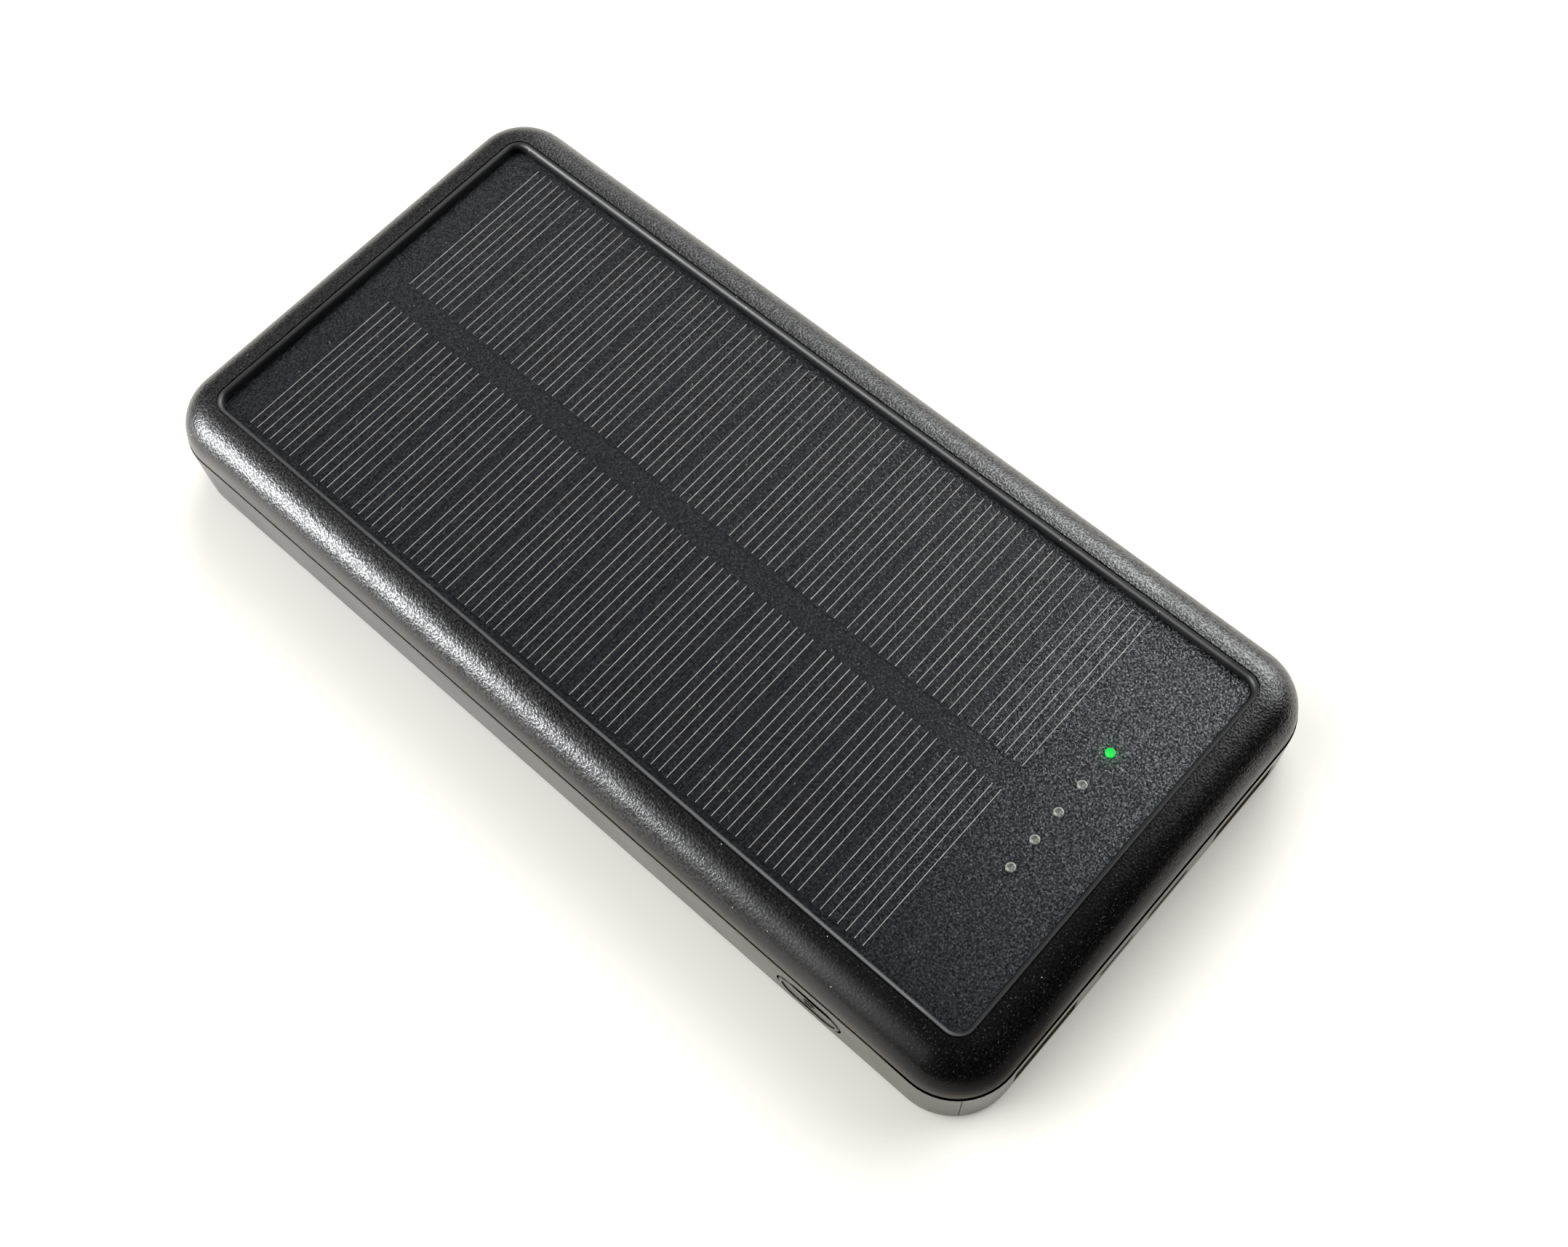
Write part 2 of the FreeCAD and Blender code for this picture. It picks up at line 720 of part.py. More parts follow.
def make_panel_sheet(name, label, low, high):
    """A thin sheet of the panel's outline with the indicator holes in it."""
    body = new_body(name)
    sketch = new_sketch(body, "XY_Plane", low)
    draw_round_box(sketch, panel_width, panel_length, panel_corner)
    for x in WINDOWS_X:
        draw_circle(sketch, x, s.window_row, s.window_bore)
    pad(body, sketch, high - low)
    return node(body, label)


def make_adhesive():
    """The double-sided tape under the panel, open in the middle and at the lead window."""
    body = new_body("Adhesive")
    sketch = new_sketch(body, "XY_Plane", s.recess_floor)
    draw_round_box(
        sketch, panel_width - TAPE_MARGIN * 2, panel_length - TAPE_MARGIN * 2, panel_corner
    )
    for x in WINDOWS_X:
        draw_circle(sketch, x, s.window_row, s.window_bore + TAPE_HOLE_GROWTH)
    draw_box(sketch, *TAPE_WINDOW)
    pad(body, sketch, s.adhesive_thickness)
    return node(body, "panel_adhesive")


def make_cells():
    """Two columns of cut solar cells in series."""
    for row in range(GROUPS):
        centre = s.first_finger - s.finger_pitch * ((FINGERS - 1) / 2) - s.group_pitch * row
        for side, column in ((-1, "a"), (1, "b")):
            near = s.column_inner - s.cell_margin
            far = s.column_outer + s.cell_margin
            x_low, x_high = (near, far) if side > 0 else (-far, -near)
            x_low, x_high = s.column_centre + x_low, s.column_centre + x_high
            cell = block(
                f"Cell{column}{row + 1}",
                x_low,
                x_high,
                centre - s.cell_length / 2,
                centre + s.cell_length / 2,
                cell_low,
                finger_low,
            )
            node(cell, f"solar_cell_{column}{row + 1:02d}")


def make_fingers():
    """The thin silver fingers printed on the cells, one strip each."""
    strips = []
    width = s.finger_width.number
    length = (s.column_outer - s.column_inner).number
    for row in range(GROUPS):
        for index in range(FINGERS):
            centre = (s.first_finger - s.group_pitch * row - s.finger_pitch * index).number
            for x_low in (s.column_inner.number, -s.column_outer.number):
                x_start = s.column_centre.number + x_low
                corner = FreeCAD.Vector(x_start, centre - width / 2, finger_low.number)
                strips.append(Part.makeBox(length, width, s.finger_thickness.number, corner))
    piece = doc.addObject("Part::Feature", "Fingers")
    piece.Shape = Part.makeCompound(strips)
    return node(piece, "finger_lines")


def make_light_guide():
    """Five clear posts on one bar, which carry the indicator light up to the panel face."""
    bar = block(
        "GuideBar",
        WINDOWS_X[0] - GUIDE_BAR_MARGIN,
        WINDOWS_X[-1] + GUIDE_BAR_MARGIN,
        s.window_row - GUIDE_BAR_HALF,
        s.window_row + GUIDE_BAR_HALF,
        *GUIDE_BAR_Z,
    )
    face = s.panel_top - GUIDE_POST_SUNK
    posts = [
        post(f"GuidePost{i}", x, s.window_row, GUIDE_POST_FOOT, face, s.guide_radius)
        for i, x in enumerate(WINDOWS_X)
    ]
    return node(joined("LightGuide", [bar] + posts), "light_guide")


# ---------------------------------------------------------------- circuit board and ports


def make_board():
    body = new_body("MainBoard")
    sketch = new_sketch(body, "XY_Plane", s.board_low)
    depth = s.board_back - s.board_front
    middle = (s.board_back + s.board_front) / 2
    draw_round_box(sketch, s.board_half_width * 2, depth, s.board_corner, 0, middle)
    for x, y in SCREWS:
        draw_circle(sketch, x, y, SCREW_RADIUS + SCREW_HOLE_GAP)
    pad(body, sketch, s.board_thickness)
    return node(body, "main_board")


def make_screws():
    """The board's self-tapping screws, with a plain cross in each head."""
    screws = []
    head_top = board_top + HEAD_HEIGHT
    slot_low = head_top - SLOT_DEPTH
    along, across = SLOT_LENGTH / 2, SLOT_WIDTH / 2
    for i, (x, y) in enumerate(SCREWS):
        shank = post(f"Shank{i}", x, y, SCREW_TIP, board_top, SCREW_RADIUS - SCREW_BORE_GAP)
        head = post(f"Head{i}", x, y, board_top, head_top, HEAD_RADIUS)
        solid = joined(f"Screw{i}", [shank, head])
        for turn, (dx, dy) in enumerate(((along, across), (across, along))):
            slot = block(f"Slot{i}{turn}", x - dx, x + dx, y - dy, y + dy, slot_low, head_top)
            solid = without(f"Slotted{i}{turn}", solid, slot)
        screws.append(solid)
    return node(grouped("Screws", screws), "board_screws")


def make_usb_a(side, name):
    """A large port: folded steel shell, and the insert whose tongue carries the contacts."""
    x = s.usb_a_offset * side
    z = s.port_level
    outer_corner, inner_corner = 0.5, 0.25
    body = new_body(f"UsbA{name}")
    sketch = new_sketch(body, "XZ_Plane", -port_front)
    draw_round_box(sketch, s.usb_a_width, s.usb_a_height, outer_corner, x, z)
    pad(body, sketch, s.usb_a_depth, back=True)
    inner_width = s.usb_a_width - s.port_sheet * 2
    inner_height = s.usb_a_height - s.port_sheet * 2
    sketch = new_sketch(body, "XZ_Plane", -port_front)
    draw_round_box(sketch, inner_width, inner_height, inner_corner, x, z)
    pocket(body, sketch, s.usb_a_depth - s.port_sheet)
    # springs pressed out of the top and bottom leave slots
    spring_x, spring_half, spring_near, spring_far = 3.0, 0.9, 2.0, 6.0
    sketch = new_sketch(body, "XY_Plane", z)
    for centre in (x - spring_x, x + spring_x):
        draw_box(
            sketch,
            centre - spring_half,
            centre + spring_half,
            port_front + spring_near,
            port_front + spring_far,
        )
    pocket(body, sketch, s.usb_a_height + BREAK_THROUGH, both=True)
    node(body, f"usb_a_{name}_shell")

    heel_depth, tongue_half, tongue_inset, tongue_height = 4.0, 5.55, 0.9, 1.84
    reach_x = inner_width / 2 - LARGE_HEEL_GAP
    reach_z = inner_height / 2 - LARGE_HEEL_GAP
    back = port_front + s.usb_a_depth - s.port_sheet - LARGE_HEEL_GAP
    front = back - heel_depth
    heel = block(
        f"UsbA{name}Heel", x - reach_x, x + reach_x, front, back, z - reach_z, z + reach_z
    )
    tongue = block(
        f"UsbA{name}Tongue",
        x - tongue_half,
        x + tongue_half,
        port_front + tongue_inset,
        front,
        z,
        z + tongue_height,
    )
    node(joined(f"UsbA{name}Insert", [heel, tongue]), f"usb_a_{name}_insert")


def make_usb_c():
    """The oval port: seamless shell on four legs, and its insert with a centre tongue."""
    x, z = s.usb_c_offset, s.port_level
    leg_inset = 1.3
    body = new_body("UsbC")
    sketch = new_sketch(body, "XZ_Plane", -port_front)
    draw_round_box(sketch, s.usb_c_width, s.usb_c_height, s.usb_c_height / 2, x, z)
    pad(body, sketch, s.usb_c_depth, back=True)
    add_legs(body, x, z, s.usb_c_width / 2 - leg_inset, s.usb_c_depth)
    inner_width = s.usb_c_width - s.port_sheet * 2
    inner_height = s.usb_c_height - s.port_sheet * 2
    sketch = new_sketch(body, "XZ_Plane", -port_front)
    draw_round_box(sketch, inner_width, inner_height, inner_height / 2, x, z)
    pocket(body, sketch, s.usb_c_depth)
    node(body, "usb_c_shell")

    heel_depth, tongue_length, tongue_half, tongue_half_height = 2.2, 4.4, 3.34, 0.35
    back = port_front + s.usb_c_depth
    body = new_body("UsbCInsert")
    sketch = new_sketch(body, "XZ_Plane", -back)
    clear_height = inner_height - SMALL_HEEL_GAP * 2
    clear_width = inner_width - SMALL_HEEL_GAP * 2
    draw_round_box(sketch, clear_width, clear_height, clear_height / 2, x, z)
    pad(body, sketch, heel_depth)
    sketch = new_sketch(body, "XZ_Plane", -(back - heel_depth))
    draw_box(
        sketch, x - tongue_half, x + tongue_half, z - tongue_half_height, z + tongue_half_height
    )
    pad(body, sketch, tongue_length)
    node(body, "usb_c_insert")


def add_legs(body, x, z, reach, depth):
    """Four legs that hold a small port up under the board."""
    sketch = new_sketch(body, "XY_Plane", s.board_low)
    for centre_x in (x - reach, x + reach):
        for centre_y in (port_front + LEG_FRONT, port_front + depth - LEG_BACK):
            draw_box(
                sketch,
                centre_x - LEG_HALF,
                centre_x + LEG_HALF,
                centre_y - LEG_DEPTH_HALF,
                centre_y + LEG_DEPTH_HALF,
            )
    pad(body, sketch, s.board_low - z, back=True)


def make_micro_usb():
    """The small charging port: folded shell on four legs, and its insert with a thin tongue."""
    x, z = s.micro_offset, s.port_level
    leg_reach = 3.35
    body = new_body("MicroUsb")
    sketch = new_sketch(body, "XZ_Plane", -port_front)
    draw_polygon(sketch, micro_outline(*MICRO_OUTSIDE))
    pad(body, sketch, s.micro_depth, back=True)
    add_legs(body, x, z, leg_reach, s.micro_depth)
    sketch = new_sketch(body, "XZ_Plane", -port_front)
    draw_polygon(sketch, micro_outline(*MICRO_INSIDE))
    pocket(body, sketch, s.micro_depth)
    node(body, "micro_usb_shell")

    heel_depth, tongue_length, tongue_half, tongue_low, tongue_high = 1.6, 3.2, 1.85, 0.15, 0.7
    back = port_front + s.micro_depth
    body = new_body("MicroInsert")
    sketch = new_sketch(body, "XZ_Plane", -back)
    draw_polygon(sketch, micro_outline(*MICRO_HEEL))
    pad(body, sketch, heel_depth)
    sketch = new_sketch(body, "XZ_Plane", -(back - heel_depth))
    draw_box(sketch, x - tongue_half, x + tongue_half, z + tongue_low, z + tongue_high)
    pad(body, sketch, tongue_length)
    node(body, "micro_usb_insert")


def make_contacts():
    """The gilt contact strips of all four ports."""
    strips = []

    def strip(x, width, front, length, low, high):
        name = f"Contact{len(strips)}"
        strips.append(block(name, x - width / 2, x + width / 2, front, front + length, low, high))

    z = s.port_level
    for side in (-1, 1):
        for offset in (-3.5, -1.0, 1.0, 3.5):
            strip(s.usb_a_offset * side + offset, 1.0, port_front + 1.3, 7.4, z - 0.12, z)
    for index in range(12):
        offset = (index - 5.5) * 0.5
        front = port_front + 1.1
        strip(s.usb_c_offset + offset, 0.25, front, 3.4, z + 0.35, z + 0.4)
        strip(s.usb_c_offset + offset, 0.25, front, 3.4, z - 0.4, z - 0.35)
    for index in range(5):
        offset = (index - 2) * 0.65
        strip(s.micro_offset + offset, 0.35, port_front + 0.9, 2.6, z + 0.08, z + 0.15)
    return node(grouped("Contacts", strips), "port_contacts")


def make_components():
    """What stands on the board: chips, coil, capacitors, resistors and indicator lamps."""
    controller_height, protection_height, capacitor_height, resistor_height = 0.9, 1.3, 1.2, 0.45
    controller = block(
        "Controller", -22.0, -16.0, -67.0, -61.0, board_top, board_top + controller_height
    )
    node(controller, "power_controller")
    protection = block(
        "Protection", 15.5, 20.4, -54.0, -50.2, board_top, board_top + protection_height
    )
    node(protection, "protection_chip")

    body = new_body("Inductor")
    sketch = new_sketch(body, "XY_Plane", board_top)
    inductor_height, inductor_rounding = 3.2, 0.4
    inductor_top = (board_top + inductor_height).number
    draw_round_box(sketch, 7.0, 6.6, 1.4, 24.0, -62.0)
    pad(body, sketch, inductor_height)
    round_edges(body, lambda middle, edge: middle.z > inductor_top - 0.01, inductor_rounding)
    node(body, "power_inductor")

    passives = [
        block(f"Capacitor{i}", x, x + 1.25, -69.6, -67.6, board_top, board_top + capacitor_height)
        for i, x in enumerate((9.0, 11.0, 13.0, 15.0, -13.0, -11.0))
    ]
    passives += [
        block(f"Resistor{i}", x, x + 0.8, -57.2, -55.6, board_top, board_top + resistor_height)
        for i, x in enumerate((-6.0, -3.6, -1.2, 1.2, 3.6, 6.0, 8.4, 10.8))
    ]
    node(grouped("Passives", passives), "capacitors_and_resistors")
    lamp_half_x, lamp_half_y, lamp_height = 0.8, 0.4, 0.7
    low_y, high_y = s.window_row - lamp_half_y, s.window_row + lamp_half_y
    for i, x in enumerate(WINDOWS_X, start=1):
        low_x, high_x = x - lamp_half_x, x + lamp_half_x
        lamp = block(f"Lamp{i}", low_x, high_x, low_y, high_y, board_top, board_top + lamp_height)
        node(lamp, f"indicator_lamp_{i}")


# ---------------------------------------------------------------- power button


def make_button():
    """The button cap: a dished obround key with a flange behind the wall and a nub on its back."""
    body = new_body("PowerButton")
    face = -half_width - s.button_proud
    flange_front = -inner_half_width + s.flange_gap
    flange_back = flange_front + s.flange_thickness
    sketch = new_sketch(body, "YZ_Plane", face)
    half = s.button_height / 2
    draw_round_box(sketch, s.button_length, s.button_height, half, s.button_row, s.button_level)
    pad(body, sketch, flange_front - face)
    round_edges(body, lambda middle, edge: middle.x < face.number + 0.01, s.button_rounding)

    sketch = new_sketch(body, "YZ_Plane", flange_front)
    flange_length = s.button_length + s.button_flange * 2
    flange_height = s.button_height + s.button_flange * 2
    draw_round_box(
        sketch, flange_length, flange_height, flange_height / 2, s.button_row, s.button_level
    )
    pad(body, sketch, s.flange_thickness)
    sketch = new_sketch(body, "YZ_Plane", flange_back)
    draw_circle(sketch, s.button_row, s.button_level, s.nub_radius)
    pad(body, sketch, s.nub_length)

    # a shallow finger dish in the face
    sketch = new_sketch(body, "YZ_Plane", face)
    dish_length = s.button_length - s.dish_margin * 2
    dish_height = s.button_height - s.dish_margin * 2
    draw_round_box(
        sketch, dish_length, dish_height, dish_height / 2, s.button_row, s.button_level
    )
    pocket(body, sketch, s.dish_depth, back=True)
    # a plain ring stands in the dish
    sketch = new_sketch(body, "YZ_Plane", face + s.dish_depth)
    draw_circle(sketch, s.button_row, s.button_level, s.mark_outer)
    draw_circle(sketch, s.button_row, s.button_level, s.mark_inner)
    pad(body, sketch, s.mark_height, back=True)
    node(body, "power_button")
    return flange_back + s.nub_length


def make_switch(nub_end):
    """The side-push switch under the board edge, and the stem that the button drives."""
    y, z = s.button_row, s.button_level
    touch_gap, stem_inside, bore_gap, bore_end_gap = 0.02, 1.0, 0.05, 0.1
    tip = nub_end + touch_gap
    front = tip + s.stem_reach
    stem_end = front + stem_inside
    stem = rod("Stem", tip, stem_end, y, z, s.stem_radius)
    node(stem, "switch_stem")
    half = s.switch_width / 2
    case = block(
        "SwitchCase", front, front + s.switch_depth, y - half, y + half, s.switch_low, s.board_low
    )
    bore_end = stem_end + s.button_travel + bore_end_gap
    bore = rod("SwitchBore", front, bore_end, y, z, s.stem_radius + bore_gap)
    node(without("Switch", case, bore), "switch_case")


# ---------------------------------------------------------------- battery and leads


def lies_level(middle, edge):
    """Whether the edge runs level rather than upright."""
    return abs(edge.tangentAt(edge.FirstParameter).z) < 0.5


def make_battery():
    """Two pouch cells side by side, with their foam tape, tabs and leads."""
    low = s.floor_thickness + s.foam_thickness
    near = s.pouch_far - s.pouch_length
    middle_y = (near + s.pouch_far) / 2
    middle_z = low + s.pouch_height / 2
    pouch_corner, seal_overlap = 2.0, 2.0
    seal_front = near - SEAL_LENGTH
    tabs = []
    pads = []
    for side, name in ((-1, "left"), (1, "right")):
        centre = (s.pouch_inner + s.pouch_width / 2) * side
        body = new_body(f"Pouch{name}")
        sketch = new_sketch(body, "XY_Plane", low)
        draw_round_box(sketch, s.pouch_width, s.pouch_length, pouch_corner, centre, middle_y)
        pad(body, sketch, s.pouch_height)
        round_edges(body, lies_level, s.pouch_rounding)
        # the sealed edge that the tabs come out of
        sketch = new_sketch(body, "XY_Plane", middle_z - SEAL_THICKNESS / 2)
        draw_box(
            sketch,
            centre - SEAL_HALF_WIDTH,
            centre + SEAL_HALF_WIDTH,
            seal_front,
            near + seal_overlap,
        )
        pad(body, sketch, SEAL_THICKNESS)
        node(body, f"battery_cell_{name}")
        for offset in TAB_OFFSETS:
            tab = block(
                f"Tab{name}{len(tabs)}",
                centre + offset - TAB_HALF_WIDTH,
                centre + offset + TAB_HALF_WIDTH,
                seal_front - TAB_LENGTH,
                seal_front,
                middle_z - TAB_THICKNESS / 2,
                middle_z + TAB_THICKNESS / 2,
            )
            tabs.append(tab)
        foam = block(
            f"Foam{name}",
            centre - FOAM_HALF_WIDTH,
            centre + FOAM_HALF_WIDTH,
            near + FOAM_MARGIN,
            s.pouch_far - FOAM_MARGIN,
            s.floor_thickness,
            low,
        )
        pads.append(foam)
    node(grouped("Tabs", tabs), "battery_tabs")
    node(grouped("Foam", pads), "battery_foam_tape")
    make_battery_leads(near, low)
    make_panel_leads()


def make_battery_leads(near, low):
    """Leads from the tabs, sloping up behind the board and onto its top."""
    tab_gap, behind_board, slope_length, landing_length, past_seal = 0.02, 0.7, 2.4, 3.2, 0.2
    bend = (s.lead_radius * 2).number
    radius = s.lead_radius.number
    lying = (low + s.pouch_height / 2).number + TAB_THICKNESS / 2 + tab_gap + radius
    over = board_top.number + BOARD_LEAD_GAP + radius
    crest = s.board_back.number + behind_board
    start = near.number - SEAL_LENGTH - past_seal
    for colour, offset in zip(("red", "black"), TAB_OFFSETS):
        runs = []
        for side in (-1, 1):
            x = (s.pouch_inner + s.pouch_width / 2).number * side + offset
            corners = [
                FreeCAD.Vector(x, start, lying),
                FreeCAD.Vector(x, crest + slope_length, lying),
                FreeCAD.Vector(x, crest, over),
                FreeCAD.Vector(x, crest - landing_length, over),
            ]
            runs.append(lead(f"Lead{colour}{side + 1}", corners, radius, bend))
        node(grouped(f"Leads{colour}", runs), f"battery_leads_{colour}")


def make_panel_leads():
    """Leads from under the panel's backing board down to the circuit board."""
    drop_y, landing_y = -51.5, -57.0
    bend = (s.lead_radius * 2.5).number
    radius = s.lead_radius.number
    over = board_top.number + BOARD_LEAD_GAP + radius
    for colour, x in (("red", -16.0), ("black", -13.0)):
        corners = [
            FreeCAD.Vector(x, drop_y, backing_low.number),
            FreeCAD.Vector(x, drop_y, over),
            FreeCAD.Vector(x, landing_y, over),
        ]
        node(lead(f"PanelLead{colour}", corners, radius, bend), f"panel_lead_{colour}")


# ---------------------------------------------------------------- build, check and export

make_bottom_shell()
make_top_cover()
make_adhesive()
make_panel_sheet("Backing", "panel_backing_board", backing_low, cell_low)
make_cells()
make_fingers()
make_panel_sheet("Film", "panel_film", film_low, s.panel_top)
make_light_guide()
make_board()
make_screws()
make_usb_a(-1, "left")
make_usb_a(1, "right")
make_usb_c()
make_micro_usb()
make_contacts()
make_components()
make_switch(make_button())
make_battery()
doc.recompute()

for item in doc.Objects:
    if "Invalid" in item.State or "Error" in item.State:
        raise RuntimeError(f"{item.Name} did not build: {item.State}")
for piece in nodes:
    if piece.Shape.isNull() or not piece.Shape.isValid():
        raise RuntimeError(f"{piece.Label} has no sound shape")
    if piece.Shape.Volume <= 0:
        raise RuntimeError(f"{piece.Label} has no volume")

os.makedirs("parts", exist_ok=True)
for piece in nodes:
    piece.Shape.exportStep(f"parts/{piece.Label}.step")
    box = piece.Shape.BoundBox
    spans = ((box.XMin, box.XMax), (box.YMin, box.YMax), (box.ZMin, box.ZMax))
    reach = " ".join(f"{low:.2f}..{high:.2f}" for low, high in spans)
    solids = len(piece.Shape.Solids)
    print(f"{piece.Label:24s} {solids:3d} solids {piece.Shape.Volume:10.2f} mm3  {reach}")
print(len(nodes), "sub-parts")
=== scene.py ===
"""Solar phone charger: materials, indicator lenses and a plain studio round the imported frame.

Metres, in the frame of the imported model: the origin is the centre of the underside, +Z up,
+Y along the length away from the ports, +X across the width away from the power button.
"""

import math

import bmesh
import bpy
from mathutils import Euler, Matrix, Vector


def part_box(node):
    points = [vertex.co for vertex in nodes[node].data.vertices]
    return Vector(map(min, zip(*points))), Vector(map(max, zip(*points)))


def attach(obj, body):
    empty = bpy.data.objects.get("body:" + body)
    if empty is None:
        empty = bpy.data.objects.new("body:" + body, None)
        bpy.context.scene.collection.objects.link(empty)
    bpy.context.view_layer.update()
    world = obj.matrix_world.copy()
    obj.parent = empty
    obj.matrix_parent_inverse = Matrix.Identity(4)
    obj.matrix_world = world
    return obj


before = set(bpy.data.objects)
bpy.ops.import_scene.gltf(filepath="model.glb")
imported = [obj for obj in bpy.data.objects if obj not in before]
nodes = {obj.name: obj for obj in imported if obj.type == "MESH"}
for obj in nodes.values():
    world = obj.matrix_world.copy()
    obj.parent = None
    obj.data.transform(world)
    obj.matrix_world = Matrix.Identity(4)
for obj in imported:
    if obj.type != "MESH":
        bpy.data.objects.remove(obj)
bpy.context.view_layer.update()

MM = 0.001
BLACK = (0.0, 0.0, 0.0)

# Where most of a noise's values lie, and how much of a speck is solid inside its soft edge.
NOISE_LOW = 0.3
NOISE_HIGH = 0.7
SPECK_CORE = 0.6


# ---------------------------------------------------------------- material tools


class Shader:
    """One material's node tree, with short calls that add nodes and join them."""

    def __init__(self, name):
        self.material = bpy.data.materials.new(name)
        self.material.use_nodes = True
        self.tree = self.material.node_tree
        self.tree.nodes.clear()
        self.place = self.add("ShaderNodeTexCoord").outputs["Object"]

    def add(self, kind, inputs=(), **settings):
        """A node; inputs are pairs of a socket's name or number and a value or another socket."""
        made = self.tree.nodes.new(kind)
        for key, value in settings.items():
            setattr(made, key, value)
        for key, value in inputs:
            if isinstance(value, bpy.types.NodeSocket):
                self.tree.links.new(value, made.inputs[key])
            else:
                made.inputs[key].default_value = value
        return made

    def noise(self, size, detail=2.0, roughness=0.5, stretch=(1.0, 1.0, 1.0), shift=0.0):
        """Noise whose features are about that size, drawn out along an axis where stretch is high."""
        spread = tuple(1.0 / (size * share) for share in stretch)
        place = self.add(
            "ShaderNodeMapping",
            [("Vector", self.place), ("Scale", spread), ("Location", (shift,) * 3)],
        )
        inputs = [
            ("Vector", place.outputs[0]),
            ("Detail", detail),
            ("Roughness", roughness),
            ("Scale", 1.0),
        ]
        return self.add("ShaderNodeTexNoise", inputs).outputs["Fac"]

    def specks(self, spacing, share, size):
        """1 on rare small dots: of the cells of that spacing only a share holds one."""
        cells = self.add(
            "ShaderNodeTexVoronoi",
            [("Vector", self.place), ("Scale", 1.0 / spacing)],
            voronoi_dimensions="2D",
        )
        edge = size / spacing
        near = self.remap(cells.outputs["Distance"], edge, SPECK_CORE * edge, 0.0, 1.0)
        chosen = self.add("ShaderNodeSeparateColor", [(0, cells.outputs["Color"])])
        rare = self.remap(chosen.outputs[0], 1.0 - share, 1.0 - share + 0.001, 0.0, 1.0)
        return self.times(near, rare)

    def math(self, operation, first, second=0.0):
        return self.add("ShaderNodeMath", [(0, first), (1, second)], operation=operation).outputs[0]

    def times(self, first, second):
        return self.math("MULTIPLY", first, second)

    def larger(self, first, second):
        return self.math("MAXIMUM", first, second)

    def vector(self, operation, first, second=(0, 0, 0), output="Vector"):
        made = self.add("ShaderNodeVectorMath", [(0, first), (1, second)], operation=operation)
        return made.outputs[output]

    def remap(self, value, low, high, to_low, to_high):
        """The value moved from one range to another, and held at the ends."""
        inputs = [
            ("Value", value),
            ("From Min", low),
            ("From Max", high),
            ("To Min", to_low),
            ("To Max", to_high),
        ]
        return self.add("ShaderNodeMapRange", inputs).outputs[0]

    def spread(self, value, first, second):
        """The middle of a noise's range, where most of it lies, moved to the range asked for."""
        return self.remap(value, NOISE_LOW, NOISE_HIGH, first, second)

    def flip(self, value):
        return self.remap(value, 0, 1, 1, 0)

    def coordinate(self, axis):
        return self.add("ShaderNodeSeparateXYZ", [(0, self.place)]).outputs[axis]

    def along(self, axis, low, high, to_low, to_high):
        """A value that changes along one axis, between two places in millimetres."""
        return self.remap(self.coordinate(axis), low * MM, high * MM, to_low, to_high)

    def blend(self, share, first, second):
        """A colour between two: each is three numbers or a socket."""
        made = self.add("ShaderNodeMix", [("Factor", share)], data_type="RGBA")
        for socket, colour in ((made.inputs[6], first), (made.inputs[7], second)):
            if isinstance(colour, bpy.types.NodeSocket):
                self.tree.links.new(colour, socket)
            else:
                socket.default_value = (*colour, 1.0)
        return made.outputs[2]

    def bump(self, height, depth, strength=1.0, normal=None):
        inputs = [("Height", height), ("Distance", depth), ("Strength", strength)]
        if normal is not None:
            inputs.append(("Normal", normal))
        return self.add("ShaderNodeBump", inputs).outputs[0]

    def surface(self, **values):
        """The Principled surface, its inputs named with _ for each space, joined to the output."""
        inputs = []
        for key, value in values.items():
            if isinstance(value, tuple) and len(value) == 3:
                value = (*value, 1.0)
            inputs.append((key.replace("_", " "), value))
        shader = self.add("ShaderNodeBsdfPrincipled", inputs)
        self.add("ShaderNodeOutputMaterial", [("Surface", shader.outputs[0])])
        return self.material


def scaled(colour, share):
    """The same colour, darker or lighter."""
    return tuple(value * share for value in colour)


def give(material, *names):
    """Puts one material on CAD nodes, in place of what they were packed with."""
    for name in names:
        slots = nodes[name].data.materials
        slots.clear()
        slots.append(material)


# ---------------------------------------------------------------- case plastics

COVER_BLACK = (0.0042, 0.0038, 0.004)
COVER_LOW_REFLECTION = (0.022, 0.013, 0.0075)
COVER_FLECK = (0.05, 0.048, 0.045)
SHELL_DARK = (0.004, 0.004, 0.004)
SHELL_PALE = (0.008, 0.0075, 0.007)
SHELL_WARM = (0.04, 0.026, 0.014)
SHELL_EDGE_LIGHT = (0.15, 0.135, 0.118)
BUTTON_DARK = (0.02, 0.014, 0.009)
BUTTON_PALE = (0.03, 0.021, 0.013)
DUST = (0.55, 0.54, 0.5)

CASE_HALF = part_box("bottom_shell")[1]
PANEL_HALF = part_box("panel_film")[1]

# The smooth lip round the panel, and the crease outside it.
LIP_WIDTH = 0.75 * MM
LIP_CORNER = 2.6 * MM
CREASE_WIDTH = 0.1 * MM

# Heights in millimetres: the cover's lower edge, with painted shade just above it, and the shell's
# rounded upper edge, where its painted light and painted joint shade lie.
COVER_LOW = 11.14
EDGE_LOW = 10.72
EDGE_HIGH = 10.9

# Distances from the button's middle line: where its face ends, fading into painted shade in the gap,
# and where the shell begins, fading out of that shade.
FACE_EDGE = 2.85 * MM
FACE_END = 2.98 * MM
SHELL_START = 3.24 * MM
SHELL_UNSHADED = 3.3 * MM


